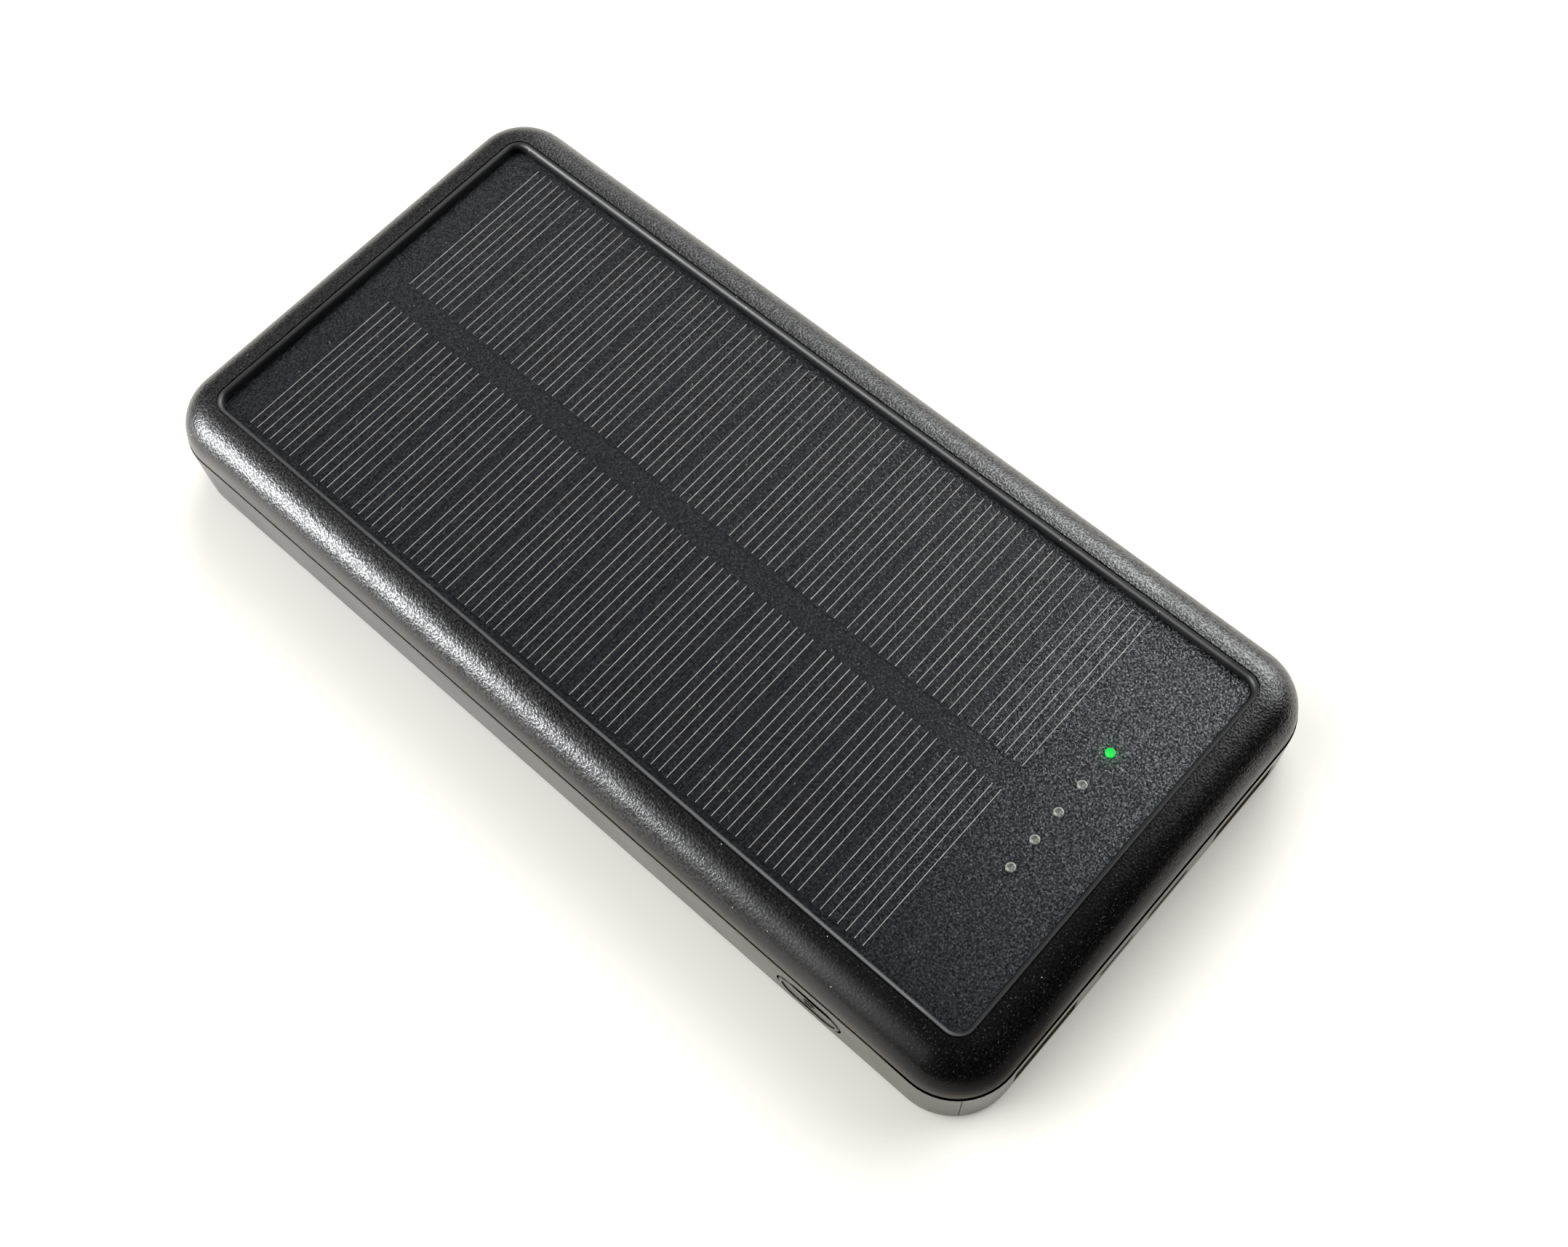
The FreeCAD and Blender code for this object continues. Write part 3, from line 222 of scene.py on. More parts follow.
def outside_lip(shader):
    """0 on the smooth lip next to the panel and 1 on the grained rim beyond its crease."""
    half_x = PANEL_HALF.x + LIP_WIDTH - LIP_CORNER
    half_y = PANEL_HALF.y + LIP_WIDTH - LIP_CORNER
    place = shader.vector("ABSOLUTE", shader.place)
    past = shader.vector("SUBTRACT", place, (half_x, half_y, 1.0))
    past = shader.vector("MAXIMUM", past)
    reach = shader.vector("LENGTH", past, output="Value")
    return shader.remap(reach, LIP_CORNER, LIP_CORNER + CREASE_WIDTH, 0.0, 1.0)


def cover_plastic():
    """Black moulding with a spark-eroded grain that is worn near the ports, and a satin lip."""
    shader = Shader("cover_plastic")
    rim = outside_lip(shader)
    lip = shader.flip(rim)

    # The grain: crisp on the crown and the far side, worn towards the ports and near the joint.
    fresh = shader.larger(
        shader.along("Y", -62, 0, 0.12, 1.0),
        shader.along("X", -25, 30, 0.0, 1.0),
    )
    grained = shader.times(rim, fresh)
    grained = shader.times(grained, shader.along("Z", 12.5, 15.0, 0.25, 1.0))
    coarse = shader.noise(0.34 * MM, 1.0, 0.5)
    grain = shader.remap(coarse, 0.4, 0.6, 0.0, 1.0)
    normal = shader.bump(coarse, 0.08 * MM, shader.remap(grained, 0, 1, 0.04, 0.9))
    broad = shader.noise(9 * MM, 3.0, 0.6, shift=3.0)
    roughness = shader.spread(broad, 0.25, 0.31)
    roughness = shader.math("ADD", roughness, shader.times(lip, 0.22))

    # The colour: uneven black, with a painted brown reflection down by the joint, fine flecks and
    # dust.
    colour = shader.blend(broad, scaled(COVER_BLACK, 0.85), scaled(COVER_BLACK, 1.2))
    # Painted shade: darker in the hollows of the grain.
    colour = shader.blend(grain, scaled(COVER_BLACK, 0.4), colour)
    colour = shader.blend(shader.along("Z", 11.5, 14.0, 1.0, 0.0), colour, COVER_LOW_REFLECTION)
    flecks = shader.remap(shader.noise(0.3 * MM, 2.0, 0.65, shift=6.0), 0.6, 0.74, 0.0, 1.0)
    flecks = shader.times(flecks, rim)
    flecks = shader.times(flecks, shader.along("Z", 13.5, 15.5, 0.0, 1.0))
    colour = shader.blend(flecks, colour, COVER_FLECK)
    colour = shader.blend(shader.specks(4.5 * MM, 0.16, 0.08 * MM), colour, DUST)

    # The gloss: on the tops of the grain, the lip and the low side, and faint near the ports.
    gloss = shader.remap(shader.times(grain, grained), 0, 1, 0.3, 0.8)
    gloss = shader.larger(gloss, shader.remap(grained, 0, 1, 0.55, 0.0))
    bright_lip = shader.times(shader.times(lip, 0.75), shader.along("Y", -66.5, -64, 0.4, 1.0))
    gloss = shader.larger(gloss, bright_lip)
    low_side = shader.times(
        shader.along("Z", 13.0, 15.5, 1.0, 0.0),
        shader.along("Y", -45, 40, 0.09, 1.3),
    )
    gloss = shader.larger(gloss, low_side)
    away_from_ports = shader.larger(
        shader.along("Y", -76, -50, 0.04, 1.0),
        shader.along("X", -25, 38, 0.0, 0.9),
    )
    gloss = shader.times(gloss, shader.larger(away_from_ports, lip))

    # Painted shade in the joint: the cover is black and without gloss along its lowest edge.
    above_joint_shade = shader.along("Z", COVER_LOW, COVER_LOW + 0.06, 0.0, 1.0)
    return shader.surface(
        Base_Color=shader.blend(above_joint_shade, BLACK, colour),
        Roughness=roughness,
        Specular_IOR_Level=shader.times(gloss, above_joint_shade),
        Normal=normal,
    )


def from_button(shader):
    """How far a point of the case side lies from the middle line of the power button."""
    low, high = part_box("power_button")
    middle = (low + high) / 2
    reach = (high.y - low.y - (high.z - low.z)) / 2
    place = shader.vector("SUBTRACT", shader.place, (0, middle.y, middle.z))
    place = shader.vector("ABSOLUTE", place)
    place = shader.vector("SUBTRACT", place, (1, reach, 0))
    place = shader.vector("MAXIMUM", place)
    return shader.vector("LENGTH", place, output="Value")


def shell_plastic():
    """The same black plastic with a finer, satin surface on the lower half of the case."""
    shader = Shader("shell_plastic")
    fine = shader.noise(0.16 * MM, 1.5, 0.55)
    broad = shader.noise(12 * MM, 3.0, 0.6, shift=5.0)
    scuffs = shader.noise(0.6 * MM, 2.0, 0.6, stretch=(9.0, 9.0, 0.6), shift=11.0)
    normal = shader.bump(fine, 0.02 * MM, 0.35)
    roughness = shader.spread(broad, 0.2, 0.27)
    roughness = shader.math("ADD", roughness, shader.remap(scuffs, 0.62, 0.8, 0.0, 0.08))

    # The colour: warmer towards the ports, and painted light makes the rounded edge at the joint
    # paler.
    colour = shader.blend(broad, SHELL_DARK, SHELL_PALE)
    colour = shader.blend(shader.along("Y", -70, 30, 1.0, 0.0), colour, SHELL_WARM)
    colour = shader.blend(shader.specks(4.0 * MM, 0.12, 0.09 * MM), colour, DUST)
    # Painted light: the rounded edge at the joint is paler, except at the port end.
    edge = shader.times(
        shader.along("Z", EDGE_LOW, EDGE_LOW + 0.14, 0.0, 1.0),
        shader.along("Y", -72, -62, 0.0, 1.0),
    )
    colour = shader.blend(edge, colour, SHELL_EDGE_LIGHT)

    # Painted shade in the joint, widest at the port end, and in the gap round the button.
    ledge = shader.along("Y", -72, -62, EDGE_LOW * MM, EDGE_HIGH * MM)
    above = shader.math("SUBTRACT", shader.coordinate("Z"), ledge)
    unshaded = shader.remap(above, 0.0, 0.03 * MM, 1.0, 0.0)
    off_button = shader.larger(
        shader.along("X", -36.5, -36.0, 0.0, 1.0),
        shader.remap(from_button(shader), SHELL_START, SHELL_UNSHADED, 0.0, 1.0),
    )
    unshaded = shader.times(unshaded, off_button)
    return shader.surface(
        Base_Color=shader.blend(unshaded, BLACK, colour),
        Roughness=roughness,
        Specular_IOR_Level=shader.times(unshaded, shader.along("Y", -76, 20, 0.23, 0.55)),
        Normal=normal,
    )


def button_plastic():
    """Satin black, with painted shade in the gap round the face and under its upper edge."""
    shader = Shader("button_plastic")
    fine = shader.noise(0.18 * MM, 1.5, 0.55)
    worn = shader.noise(2.5 * MM, 3.0, 0.6, shift=2.0)
    # Painted shade: black in the gap round the face and in a band under its upper edge.
    face = shader.remap(from_button(shader), FACE_EDGE, FACE_END, 1.0, 0.0)
    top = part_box("power_button")[1].z / MM
    shadow = shader.along("Y", -52, -47, (top - 1.25) * MM, (top - 0.7) * MM)
    above = shader.math("SUBTRACT", shader.coordinate("Z"), shadow)
    face = shader.times(face, shader.remap(above, 0.0, 0.12 * MM, 1.0, 0.0))
    colour = shader.blend(worn, BUTTON_DARK, BUTTON_PALE)
    return shader.surface(
        Base_Color=shader.blend(face, BLACK, colour),
        Roughness=shader.spread(worn, 0.2, 0.32),
        Specular_IOR_Level=shader.times(face, 0.35),
        Normal=shader.bump(fine, 0.02 * MM, 0.3),
    )


# ---------------------------------------------------------------- panel

FILM_GREY = (0.0115, 0.0122, 0.0145)
FILM_HOLLOW_SHADE = (0.0002, 0.0002, 0.0002)
FILM_GLINT_LIGHT = (0.36, 0.38, 0.4)
LAMP_GREEN = (0.0, 0.8, 0.075)
PAINTED_GLOW_REACH = 3.2 * MM


def pebbles(shader):
    """The film's pebbled grain: its height, and the same spread out from 0 to 1."""
    height = shader.noise(0.38 * MM, 1.5, 0.55)
    return height, shader.remap(height, 0.44, 0.66, 0.0, 1.0)


def painted_pebble_light(shader, colour, dark, bright):
    """A colour seen through the pebbles, with painted shade in their hollows and painted glints on
    their tops.
    """
    grain = pebbles(shader)[1]
    lifted = shader.blend(shader.math("POWER", grain, 2.0), colour, scaled(FILM_GREY, bright))
    dimmed = shader.remap(grain, 0.0, 0.3, dark, 1.0)
    return shader.blend(dimmed, BLACK, lifted)


def panel_film(lit_window):
    """Clear film with a pebbled face: it glints, with painted glints and painted shade in its grain,
    veils the cells, and is painted glowing green round the lit window.
    """
    shader = Shader("panel_film")
    pebble, grain = pebbles(shader)
    broad = shader.noise(14 * MM, 2.0, 0.5, shift=9.0)
    crests = shader.noise(0.28 * MM, 1.0, 0.5, shift=4.0)
    facing = shader.add("ShaderNodeLayerWeight", [("Blend", 0.35)]).outputs["Facing"]
    # Painted light: the film itself shines green round the lit window, in place of the lamp's light.
    away = shader.vector("DISTANCE", shader.place, tuple(lit_window), output="Value")
    painted_glow = shader.math("POWER", shader.remap(away, 0.5 * MM, PAINTED_GLOW_REACH, 1.0, 0.0), 3.0)

    colour = shader.blend(broad, scaled(FILM_GREY, 0.8), scaled(FILM_GREY, 1.2))
    # Painted light and shade: paler on the pebbles' tops and darker in their hollows.
    tops = shader.blend(grain, colour, scaled(FILM_GREY, 2.6))
    colour = shader.blend(grain, scaled(FILM_GREY, 0.2), tops)
    # Painted shade and painted glints in the grain, strongest at the lamps' end and towards +X.
    glint_zone = shader.times(
        shader.along("Y", -58, -40, 1.0, 0.0),
        shader.along("X", -30, 15, 0.15, 1.0),
    )
    hollows = shader.times(shader.remap(crests, 0.36, 0.5, 1.0, 0.0), glint_zone)
    glints = shader.times(shader.remap(crests, 0.54, 0.68, 0.0, 1.0), glint_zone)
    colour = shader.blend(hollows, colour, FILM_HOLLOW_SHADE)
    colour = shader.blend(glints, colour, FILM_GLINT_LIGHT)
    colour = shader.blend(shader.specks(6 * MM, 0.3, 0.1 * MM), colour, DUST)

    gloss = shader.times(
        shader.remap(grain, 0.0, 1.0, 0.35, 0.75),
        shader.remap(crests, 0.4, 0.62, 0.15, 1.75),
    )
    gloss = shader.times(gloss, shader.along("X", -32, 10, 0.5, 0.95))
    return shader.surface(
        Base_Color=colour,
        Roughness=shader.spread(pebble, 0.26, 0.16),
        Specular_IOR_Level=gloss,
        IOR=1.9,
        Alpha=shader.remap(facing, 0.0, 1.0, 0.24, 0.75),
        Emission_Color=LAMP_GREEN,
        Emission_Strength=shader.times(painted_glow, 0.12),
        Normal=shader.bump(pebble, 0.09 * MM, 0.8),
    )


def solar_cell():
    """Blue-black silicon with faint crystal mottling."""
    shader = Shader("solar_cell")
    crystal = shader.noise(1.6 * MM, 2.0, 0.6)
    broad = shader.noise(20 * MM, 1.0, 0.5, shift=6.0)
    colour = shader.blend(crystal, (0.004, 0.0045, 0.006), (0.007, 0.008, 0.01))
    colour = shader.blend(shader.spread(broad, 0.0, 0.5), colour, (0.008, 0.007, 0.007))
    return shader.surface(
        Base_Color=painted_pebble_light(shader, colour, 0.5, 2.2),
        Roughness=shader.spread(crystal, 0.42, 0.5),
        Normal=shader.bump(crystal, 0.01 * MM, 0.2),
    )


def backing_board():
    """Dark green-black board with a faint weave."""
    shader = Shader("backing_board")
    weave = shader.noise(0.5 * MM, 2.0, 0.6, shift=2.0)
    colour = shader.blend(weave, (0.004, 0.0078, 0.008), (0.0065, 0.0125, 0.013))
    return shader.surface(
        Base_Color=painted_pebble_light(shader, colour, 0.35, 4.0),
        Roughness=shader.spread(weave, 0.4, 0.52),
        Normal=shader.bump(weave, 0.01 * MM, 0.3),
    )


def silver_print():
    """Fired silver paste, uneven along each line."""
    shader = Shader("silver_print")
    beads = shader.noise(0.5 * MM, 2.0, 0.7, stretch=(1.6, 0.5, 1.0))
    patches = shader.noise(5 * MM, 2.0, 0.6, shift=8.0)
    covered = shader.times(shader.spread(beads, 0.35, 1.0), shader.spread(patches, 0.75, 1.0))
    return shader.surface(
        Base_Color=shader.blend(covered, (0.14, 0.14, 0.132), (0.86, 0.85, 0.78)),
        Metallic=0.25,
        Roughness=shader.spread(beads, 0.55, 0.35),
        Normal=shader.bump(beads, 0.01 * MM, 0.5),
    )


# ---------------------------------------------------------------- ports and inner pieces


def moulded(name, colour, roughness, grain=0.25 * MM, **extra):
    """A moulded or coated piece: a fine grain, uneven gloss and a slightly uneven colour."""
    shader = Shader(name)
    fine = shader.noise(grain, 2.0, 0.6)
    broad = shader.noise(grain * 14, 2.0, 0.6, shift=3.0)
    return shader.surface(
        Base_Color=shader.blend(broad, scaled(colour, 0.85), scaled(colour, 1.12)),
        Roughness=shader.spread(fine, roughness + 0.06, roughness - 0.04),
        Normal=shader.bump(fine, grain / 12, 0.4),
        **extra,
    )


def metal(name, colour, roughness, stretch):
    """Rolled or drawn metal with fine lines along the stretched axis."""
    shader = Shader(name)
    lines = shader.noise(0.08 * MM, 2.0, 0.6, stretch)
    stains = shader.noise(1.8 * MM, 3.0, 0.6, shift=3.0)
    return shader.surface(
        Base_Color=shader.blend(stains, scaled(colour, 0.86), colour),
        Metallic=1.0,
        Roughness=shader.spread(lines, roughness + 0.08, roughness - 0.06),
        Normal=shader.bump(lines, 0.006 * MM, 0.4),
    )


def circuit_board():
    """Green solder mask over tracks that run in both directions."""
    shader = Shader("circuit_board")
    lengthwise = shader.noise(0.7 * MM, 0.0, 0.5, stretch=(12.0, 1.0, 1.0))
    across = shader.noise(0.7 * MM, 0.0, 0.5, stretch=(1.0, 12.0, 1.0), shift=5.0)
    tracks = shader.remap(shader.larger(lengthwise, across), 0.6, 0.63, 0.0, 1.0)
    return shader.surface(
        Base_Color=shader.blend(tracks, (0.012, 0.085, 0.04), (0.03, 0.16, 0.07)),
        Roughness=shader.remap(tracks, 0.0, 1.0, 0.38, 0.28),
        Normal=shader.bump(tracks, 0.03 * MM, 0.5),
    )


def pouch_foil():
    """Crinkled silver laminate round a battery cell."""
    shader = Shader("pouch_foil")
    creases = shader.noise(4 * MM, 4.0, 0.65)
    rolled = shader.noise(0.3 * MM, 1.0, 0.5, stretch=(1.0, 8.0, 1.0), shift=3.0)
    normal = shader.bump(creases, 0.5 * MM, 0.35)
    return shader.surface(
        Base_Color=shader.blend(rolled, (0.52, 0.52, 0.53), (0.68, 0.68, 0.69)),
        Metallic=0.9,
        Roughness=shader.spread(rolled, 0.32, 0.24),
        Normal=shader.bump(rolled, 0.02 * MM, 0.3, normal),
    )


def paint_nodes(lit_window):
    """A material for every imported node."""
    cells = [name for name in nodes if name.startswith("solar_cell")]
    lamps = [name for name in nodes if name.startswith("indicator_lamp")]
    dark_lamps = [name for name in lamps if name != "indicator_lamp_5"]
    port_shells = [name for name in nodes if name.endswith("_shell") and name != "bottom_shell"]
    inserts = [name for name in nodes if name.endswith("_insert")]
    give(cover_plastic(), "top_cover")
    give(shell_plastic(), "bottom_shell")
    give(button_plastic(), "power_button")
    give(panel_film(lit_window), "panel_film")
    give(solar_cell(), *cells)
    give(backing_board(), "panel_backing_board")
    give(silver_print(), "finger_lines")
    give(moulded("adhesive_tape", (0.5, 0.5, 0.47), 0.6), "panel_adhesive")
    give(moulded("light_guide", (0.5, 0.51, 0.49), 0.3, Transmission_Weight=0.5), "light_guide")
    give(metal("port_steel", (0.66, 0.65, 0.63), 0.3, (1.0, 10.0, 1.0)), *port_shells, "switch_case")
    give(moulded("port_insert", (0.016, 0.016, 0.016), 0.4), *inserts)
    give(metal("gilt_contact", (0.85, 0.62, 0.27), 0.25, (1.0, 8.0, 1.0)), "port_contacts")
    give(circuit_board(), "main_board")
    give(metal("screw_steel", (0.5, 0.5, 0.51), 0.3, (1.0, 1.0, 1.0)), "board_screws")
    give(moulded("chip_package", (0.018, 0.018, 0.02), 0.45), "power_controller", "protection_chip")
    give(moulded("ferrite", (0.05, 0.05, 0.052), 0.6), "power_inductor")
    give(moulded("ceramic", (0.4, 0.3, 0.2), 0.4), "capacitors_and_resistors")
    give(moulded("lamp_white", (0.8, 0.8, 0.68), 0.3), *dark_lamps)
    lit = moulded("lamp_green", LAMP_GREEN, 0.3, Emission_Color=LAMP_GREEN, Emission_Strength=3.0)
    give(lit, "indicator_lamp_5")
    give(moulded("switch_plastic", (0.6, 0.6, 0.58), 0.4), "switch_stem")
    give(pouch_foil(), "battery_cell_left", "battery_cell_right")
    give(metal("nickel_tab", (0.66, 0.64, 0.58), 0.3, (8.0, 1.0, 1.0)), "battery_tabs")
    give(moulded("foam_tape", (0.62, 0.62, 0.6), 0.85), "battery_foam_tape")
    give(moulded("lead_red", (0.42, 0.015, 0.012), 0.4), "battery_leads_red", "panel_lead_red")
    give(moulded("lead_black", (0.02, 0.02, 0.02), 0.4), "battery_leads_black", "panel_lead_black")


# ---------------------------------------------------------------- indicator lenses

WINDOW_X = [-9.6 * MM, -4.7 * MM, 0.2 * MM, 5.1 * MM, 11.0 * MM]
WINDOW_Y = (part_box("light_guide")[0].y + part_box("light_guide")[1].y) / 2
LENS_GAP = 0.002 * MM
MIDDLE_POINTS = 4


def cloudy(name, dark, pale):
    """Half clear plastic, unevenly cloudy."""
    shader = Shader(name)
    clouds = shader.noise(0.42 * MM, 2.0, 0.6)
    return shader.surface(
        Base_Color=shader.blend(shader.remap(clouds, 0.38, 0.62, 0.0, 1.0), dark, pale),
        Roughness=shader.spread(clouds, 0.4, 0.25),
        Normal=shader.bump(clouds, 0.05 * MM, 0.5),
    )


def turned(name, outline, place, materials, split, steps=40):
    """A closed piece turned from (radius, height) points; from split on it has the second material."""
    mesh = bpy.data.meshes.new(name)
    shape = bmesh.new()
    rings = []
    for radius, height in outline:
        if radius == 0:
            rings.append([shape.verts.new((0, 0, height))])
            continue
        ring = []
        for step in range(steps):
            angle = 2 * math.pi * step / steps
            ring.append(shape.verts.new((radius * math.cos(angle), radius * math.sin(angle), height)))
        rings.append(ring)
    for index, (lower, upper) in enumerate(zip(rings, rings[1:])):
        for step in range(steps):
            after = (step + 1) % steps
            corners = [lower[step % len(lower)], lower[after % len(lower)]]
            corners += [upper[after % len(upper)], upper[step % len(upper)]]
            face = shape.faces.new(list(dict.fromkeys(corners)))
            face.smooth = True
            face.material_index = int(index >= split)
    bmesh.ops.recalc_face_normals(shape, faces=shape.faces)
    shape.to_mesh(mesh)
    shape.free()
    for material in materials:
        mesh.materials.append(material)
    piece = bpy.data.objects.new(name, mesh)
    piece.location = place
    bpy.context.scene.collection.objects.link(piece)
    return piece


def make_lenses():
    """A moulded lens in each window: a raised pale rim round a flatter, cloudy middle."""
    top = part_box("panel_film")[1].z
    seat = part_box("light_guide")[1].z
    outline = [
        (0.0, seat - top + LENS_GAP),
        (0.62 * MM, seat - top + LENS_GAP),
        (0.62 * MM, LENS_GAP),
        (0.71 * MM, LENS_GAP),
        (0.69 * MM, 0.03 * MM),
        (0.61 * MM, 0.06 * MM),
        (0.51 * MM, 0.05 * MM),
        (0.41 * MM, -0.005 * MM),
        (0.25 * MM, -0.012 * MM),
        (0.0, 0.01 * MM),
    ]
    rim = cloudy("lens_rim", (0.06, 0.062, 0.054), (0.3, 0.31, 0.275))
    middle = cloudy("lens_middle", (0.035, 0.037, 0.032), (0.16, 0.165, 0.145))
    # Painted light: the lens over the lit lamp is green and shines itself, in place of the lamp's
    # light through it.
    painted_glow = {"Emission_Color": LAMP_GREEN, "Emission_Strength": 0.85, "Specular_IOR_Level": 0.2}
    lit_rim = moulded("lens_rim_lit", (0.0, 0.08, 0.01), 0.3, 0.15 * MM, **painted_glow)
    lit_middle = moulded("lens_middle_lit", (0.01, 0.1, 0.02), 0.3, 0.15 * MM, **painted_glow)
    for number, x in enumerate(WINDOW_X, start=1):
        lit = number == len(WINDOW_X)
        materials = [lit_rim, lit_middle] if lit else [rim, middle]
        split = len(outline) - MIDDLE_POINTS
        lens = turned(f"indicator_lens_{number}", outline, (x, WINDOW_Y, top), materials, split)
        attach(lens, "case")


# ---------------------------------------------------------------- small mouldings


def lift_fingers():
    """The silver lines reach a hair into the film, so that no two faces share one level."""
    lift = nodes["finger_lines"].modifiers.new("lift", "DISPLACE")
    lift.direction = "Z"
    lift.mid_level = 0.0
    lift.strength = 0.01 * MM


def make_parting_lines():
    """The fine line that the mould's halves leave down each corner of the bottom shell."""
    half_wide = 0.04 * MM
    proud = 0.02 * MM
    low = 0.9 * MM
    high = 10.6 * MM
    corner = 9.1 * MM
    reach = corner / math.sqrt(2)
    line = moulded("parting_line", (0.002, 0.002, 0.002), 0.6, Specular_IOR_Level=0.1)
    for x in (-1, 1):
        for y in (-1, 1):
            mesh = bpy.data.meshes.new("parting_line")
            shape = bmesh.new()
            bmesh.ops.create_cube(shape, size=1.0)
            shape.to_mesh(mesh)
            shape.free()
            mesh.materials.append(line)
            piece = bpy.data.objects.new(f"parting_line_{2 + x}{2 + y}", mesh)
            out_x = CASE_HALF.x - corner + reach
            out_y = CASE_HALF.y - corner + reach
            piece.location = (x * out_x, y * out_y, (low + high) / 2)
            piece.rotation_euler.z = math.atan2(y, x)
            piece.scale = (proud * 2, half_wide * 2, high - low)
            bpy.context.scene.collection.objects.link(piece)
            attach(piece, "case")


# ---------------------------------------------------------------- studio


FLOOR_REFLECTED = 0.2
FLOOR_EDGE = 2.5


def make_ring(name, inner, outer, material):
    """A flat square of the floor, with a square hole in it where inner isn't 0."""
    mesh = bpy.data.meshes.new(name)
    signs = [(-1, -1), (1, -1), (1, 1), (-1, 1)]
    points = [(outer * x, outer * y, 0) for x, y in signs]
    faces = [(0, 1, 2, 3)]
    if inner:
        points += [(inner * x, inner * y, 0) for x, y in signs]
        faces = [(side, (side + 1) % 4, (side + 1) % 4 + 4, side + 4) for side in range(4)]
    mesh.from_pydata(points, [], faces)
    mesh.materials.append(material)
    floor = bpy.data.objects.new(name, mesh)
    floor.location.z = -0.02 * MM
    bpy.context.scene.collection.objects.link(floor)
    return floor


def make_floor():
    """A pale table top. The case mirrors only the part of it that lies near."""
    shader = Shader("floor")
    mottle = shader.noise(30 * MM, 3.0, 0.6)
    material = shader.surface(
        Base_Color=shader.blend(mottle, (0.89, 0.86, 0.8), (0.91, 0.88, 0.82)),
        Roughness=0.7,
    )
    make_ring("floor_near", 0, FLOOR_REFLECTED, material)
    make_ring("floor_far", FLOOR_REFLECTED, FLOOR_EDGE, material).visible_glossy = False


WINDOW = (142, 23)
SIDE_WINDOW = (-5, 32)
COOL_WHITE = (0.98, 0.99, 1.0)
GREEN_WHITE = (0.97, 1.0, 0.96)
WARM_WHITE = (1.0, 0.985, 0.96)
SKY = (0.97, 0.98, 1.0, 1.0)
SKY_SEEN = 0.95

# Each light: name, azimuth and elevation, distance, width, height, radiance, colour, and what it
# lights: the gloss or the diffuse share of the surfaces.
LIGHTS = (
    ("window", *WINDOW, 0.9, 0.45, 0.3, 27.0, COOL_WHITE, "gloss"),
    ("side_window", *SIDE_WINDOW, 0.9, 0.45, 0.35, 7.5, GREEN_WHITE, "gloss"),
    ("window_fill", 130, 52, 0.65, 0.5, 0.5, 2.6, COOL_WHITE, "diffuse"),
    ("side_fill", 35, 34, 0.9, 0.5, 0.4, 5.0, (1.0, 1.0, 0.99), "diffuse"),
    ("overhead", -70, 80, 1.2, 1.2, 1.2, 0.8, WARM_WHITE, "diffuse"),
)

# Each bright patch of the surroundings: its direction, where it starts to show, and its peak.
PATCHES = ((WINDOW, 0.74, 2.4), (SIDE_WINDOW, 0.73, 3.8))
PATCH_FULL = 0.97

SENSOR_WIDTH = 36.0
FOCAL_LENGTH = 42.006
CAMERA_PLACE = (-75.32, -91.48, 241.13)
CAMERA_TURN = (24.848, 2.059, -48.163)


def heading(azimuth, elevation):
    """The direction at that azimuth, from +X towards +Y, and that elevation, in degrees."""
    turn = math.radians(azimuth)
    tilt = math.radians(elevation)
    return Vector((math.cos(turn) * math.cos(tilt), math.sin(turn) * math.cos(tilt), math.sin(tilt)))


def smooth_level(tree, value, low, high, to_low, to_high):
    """The value moved smoothly from one range to another, and held at the ends."""
    level = tree.nodes.new("ShaderNodeMapRange")
    level.interpolation_type = "SMOOTHSTEP"
    tree.links.new(value, level.inputs["Value"])
    places = ("From Min", low), ("From Max", high), ("To Min", to_low), ("To Max", to_high)
    for socket, number in places:
        level.inputs[socket].default_value = number
    return level.outputs[0]


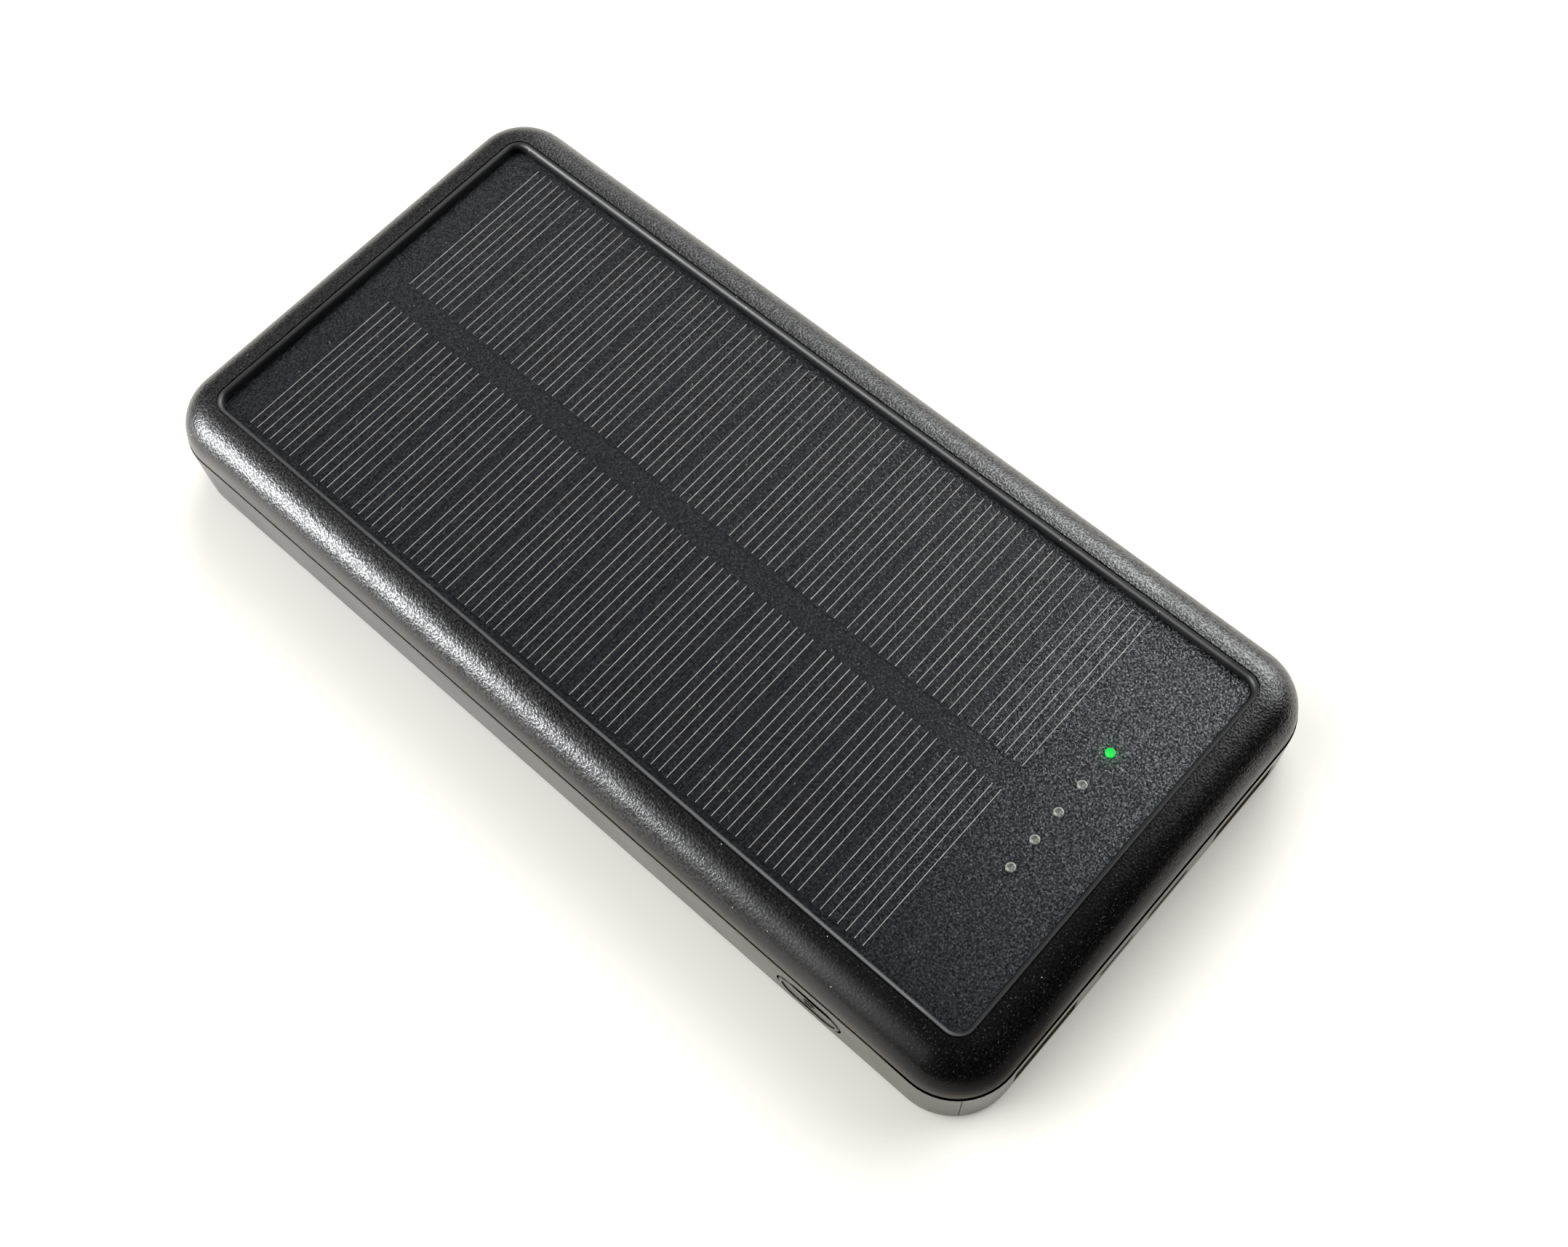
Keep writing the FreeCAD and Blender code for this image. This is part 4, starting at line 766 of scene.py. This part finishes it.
def make_world():
    """Soft surroundings: bright round both windows, dim overhead, dark behind the port end."""
    world = bpy.data.worlds.new("studio")
    bpy.context.scene.world = world
    world.use_nodes = True
    tree = world.node_tree
    tree.nodes.clear()
    coord = tree.nodes.new("ShaderNodeTexCoord")
    parts = tree.nodes.new("ShaderNodeSeparateXYZ")
    tree.links.new(coord.outputs["Generated"], parts.inputs[0])
    shares = [
        smooth_level(tree, parts.outputs["Y"], 0.15, 0.65, 0.01, 0.66),
        smooth_level(tree, parts.outputs["Y"], 0.65, 0.9, 0.0, -0.4),
    ]
    for place, start, peak in PATCHES:
        towards = tree.nodes.new("ShaderNodeVectorMath")
        towards.operation = "DOT_PRODUCT"
        towards.inputs[1].default_value = heading(*place)
        tree.links.new(coord.outputs["Generated"], towards.inputs[0])
        shares.append(smooth_level(tree, towards.outputs["Value"], start, PATCH_FULL, 0.0, peak))
    level = shares[0]
    for share in shares[1:]:
        both = tree.nodes.new("ShaderNodeMath")
        tree.links.new(level, both.inputs[0])
        tree.links.new(share, both.inputs[1])
        level = both.outputs[0]
    path = tree.nodes.new("ShaderNodeLightPath")
    seen = tree.nodes.new("ShaderNodeMix")
    seen.inputs[3].default_value = SKY_SEEN
    tree.links.new(path.outputs["Is Camera Ray"], seen.inputs[0])
    tree.links.new(level, seen.inputs[2])
    background = tree.nodes.new("ShaderNodeBackground")
    background.inputs["Color"].default_value = SKY
    tree.links.new(seen.outputs[0], background.inputs["Strength"])
    output = tree.nodes.new("ShaderNodeOutputWorld")
    tree.links.new(background.outputs[0], output.inputs["Surface"])


def make_light(name, azimuth, elevation, distance, width, height, radiance, colour, use):
    """A soft light aimed at the middle of the case, for reflections or for all but them."""
    data = bpy.data.lights.new(name, "AREA")
    data.shape = "RECTANGLE"
    data.size = width
    data.size_y = height
    data.energy = radiance * math.pi * width * height
    data.color = colour
    light = bpy.data.objects.new(name, data)
    outward = heading(azimuth, elevation)
    light.location = outward * distance
    light.rotation_euler = outward.to_track_quat("Z", "Y").to_euler()
    light.visible_glossy = use == "gloss"
    light.visible_diffuse = use == "diffuse"
    light.visible_camera = False
    bpy.context.scene.collection.objects.link(light)


def make_camera():
    """The one camera, over the corner between the button's side and the ports."""
    data = bpy.data.cameras.new("camera")
    data.sensor_width = SENSOR_WIDTH
    data.lens = FOCAL_LENGTH
    data.clip_start = 0.01
    camera = bpy.data.objects.new("camera", data)
    camera.location = [length * MM for length in CAMERA_PLACE]
    camera.rotation_euler = Euler([math.radians(turn) for turn in CAMERA_TURN], "XYZ")
    bpy.context.scene.collection.objects.link(camera)
    bpy.context.scene.camera = camera


def make_studio():
    make_floor()
    make_world()
    for light in LIGHTS:
        make_light(*light)
    view = bpy.context.scene.view_settings
    view.view_transform = "Standard"
    view.look = "None"


# ---------------------------------------------------------------- build

LIT_WINDOW = Vector((WINDOW_X[-1], WINDOW_Y, PANEL_HALF.z))

paint_nodes(LIT_WINDOW)
lift_fingers()
make_lenses()
make_parting_lines()
make_studio()
make_camera()
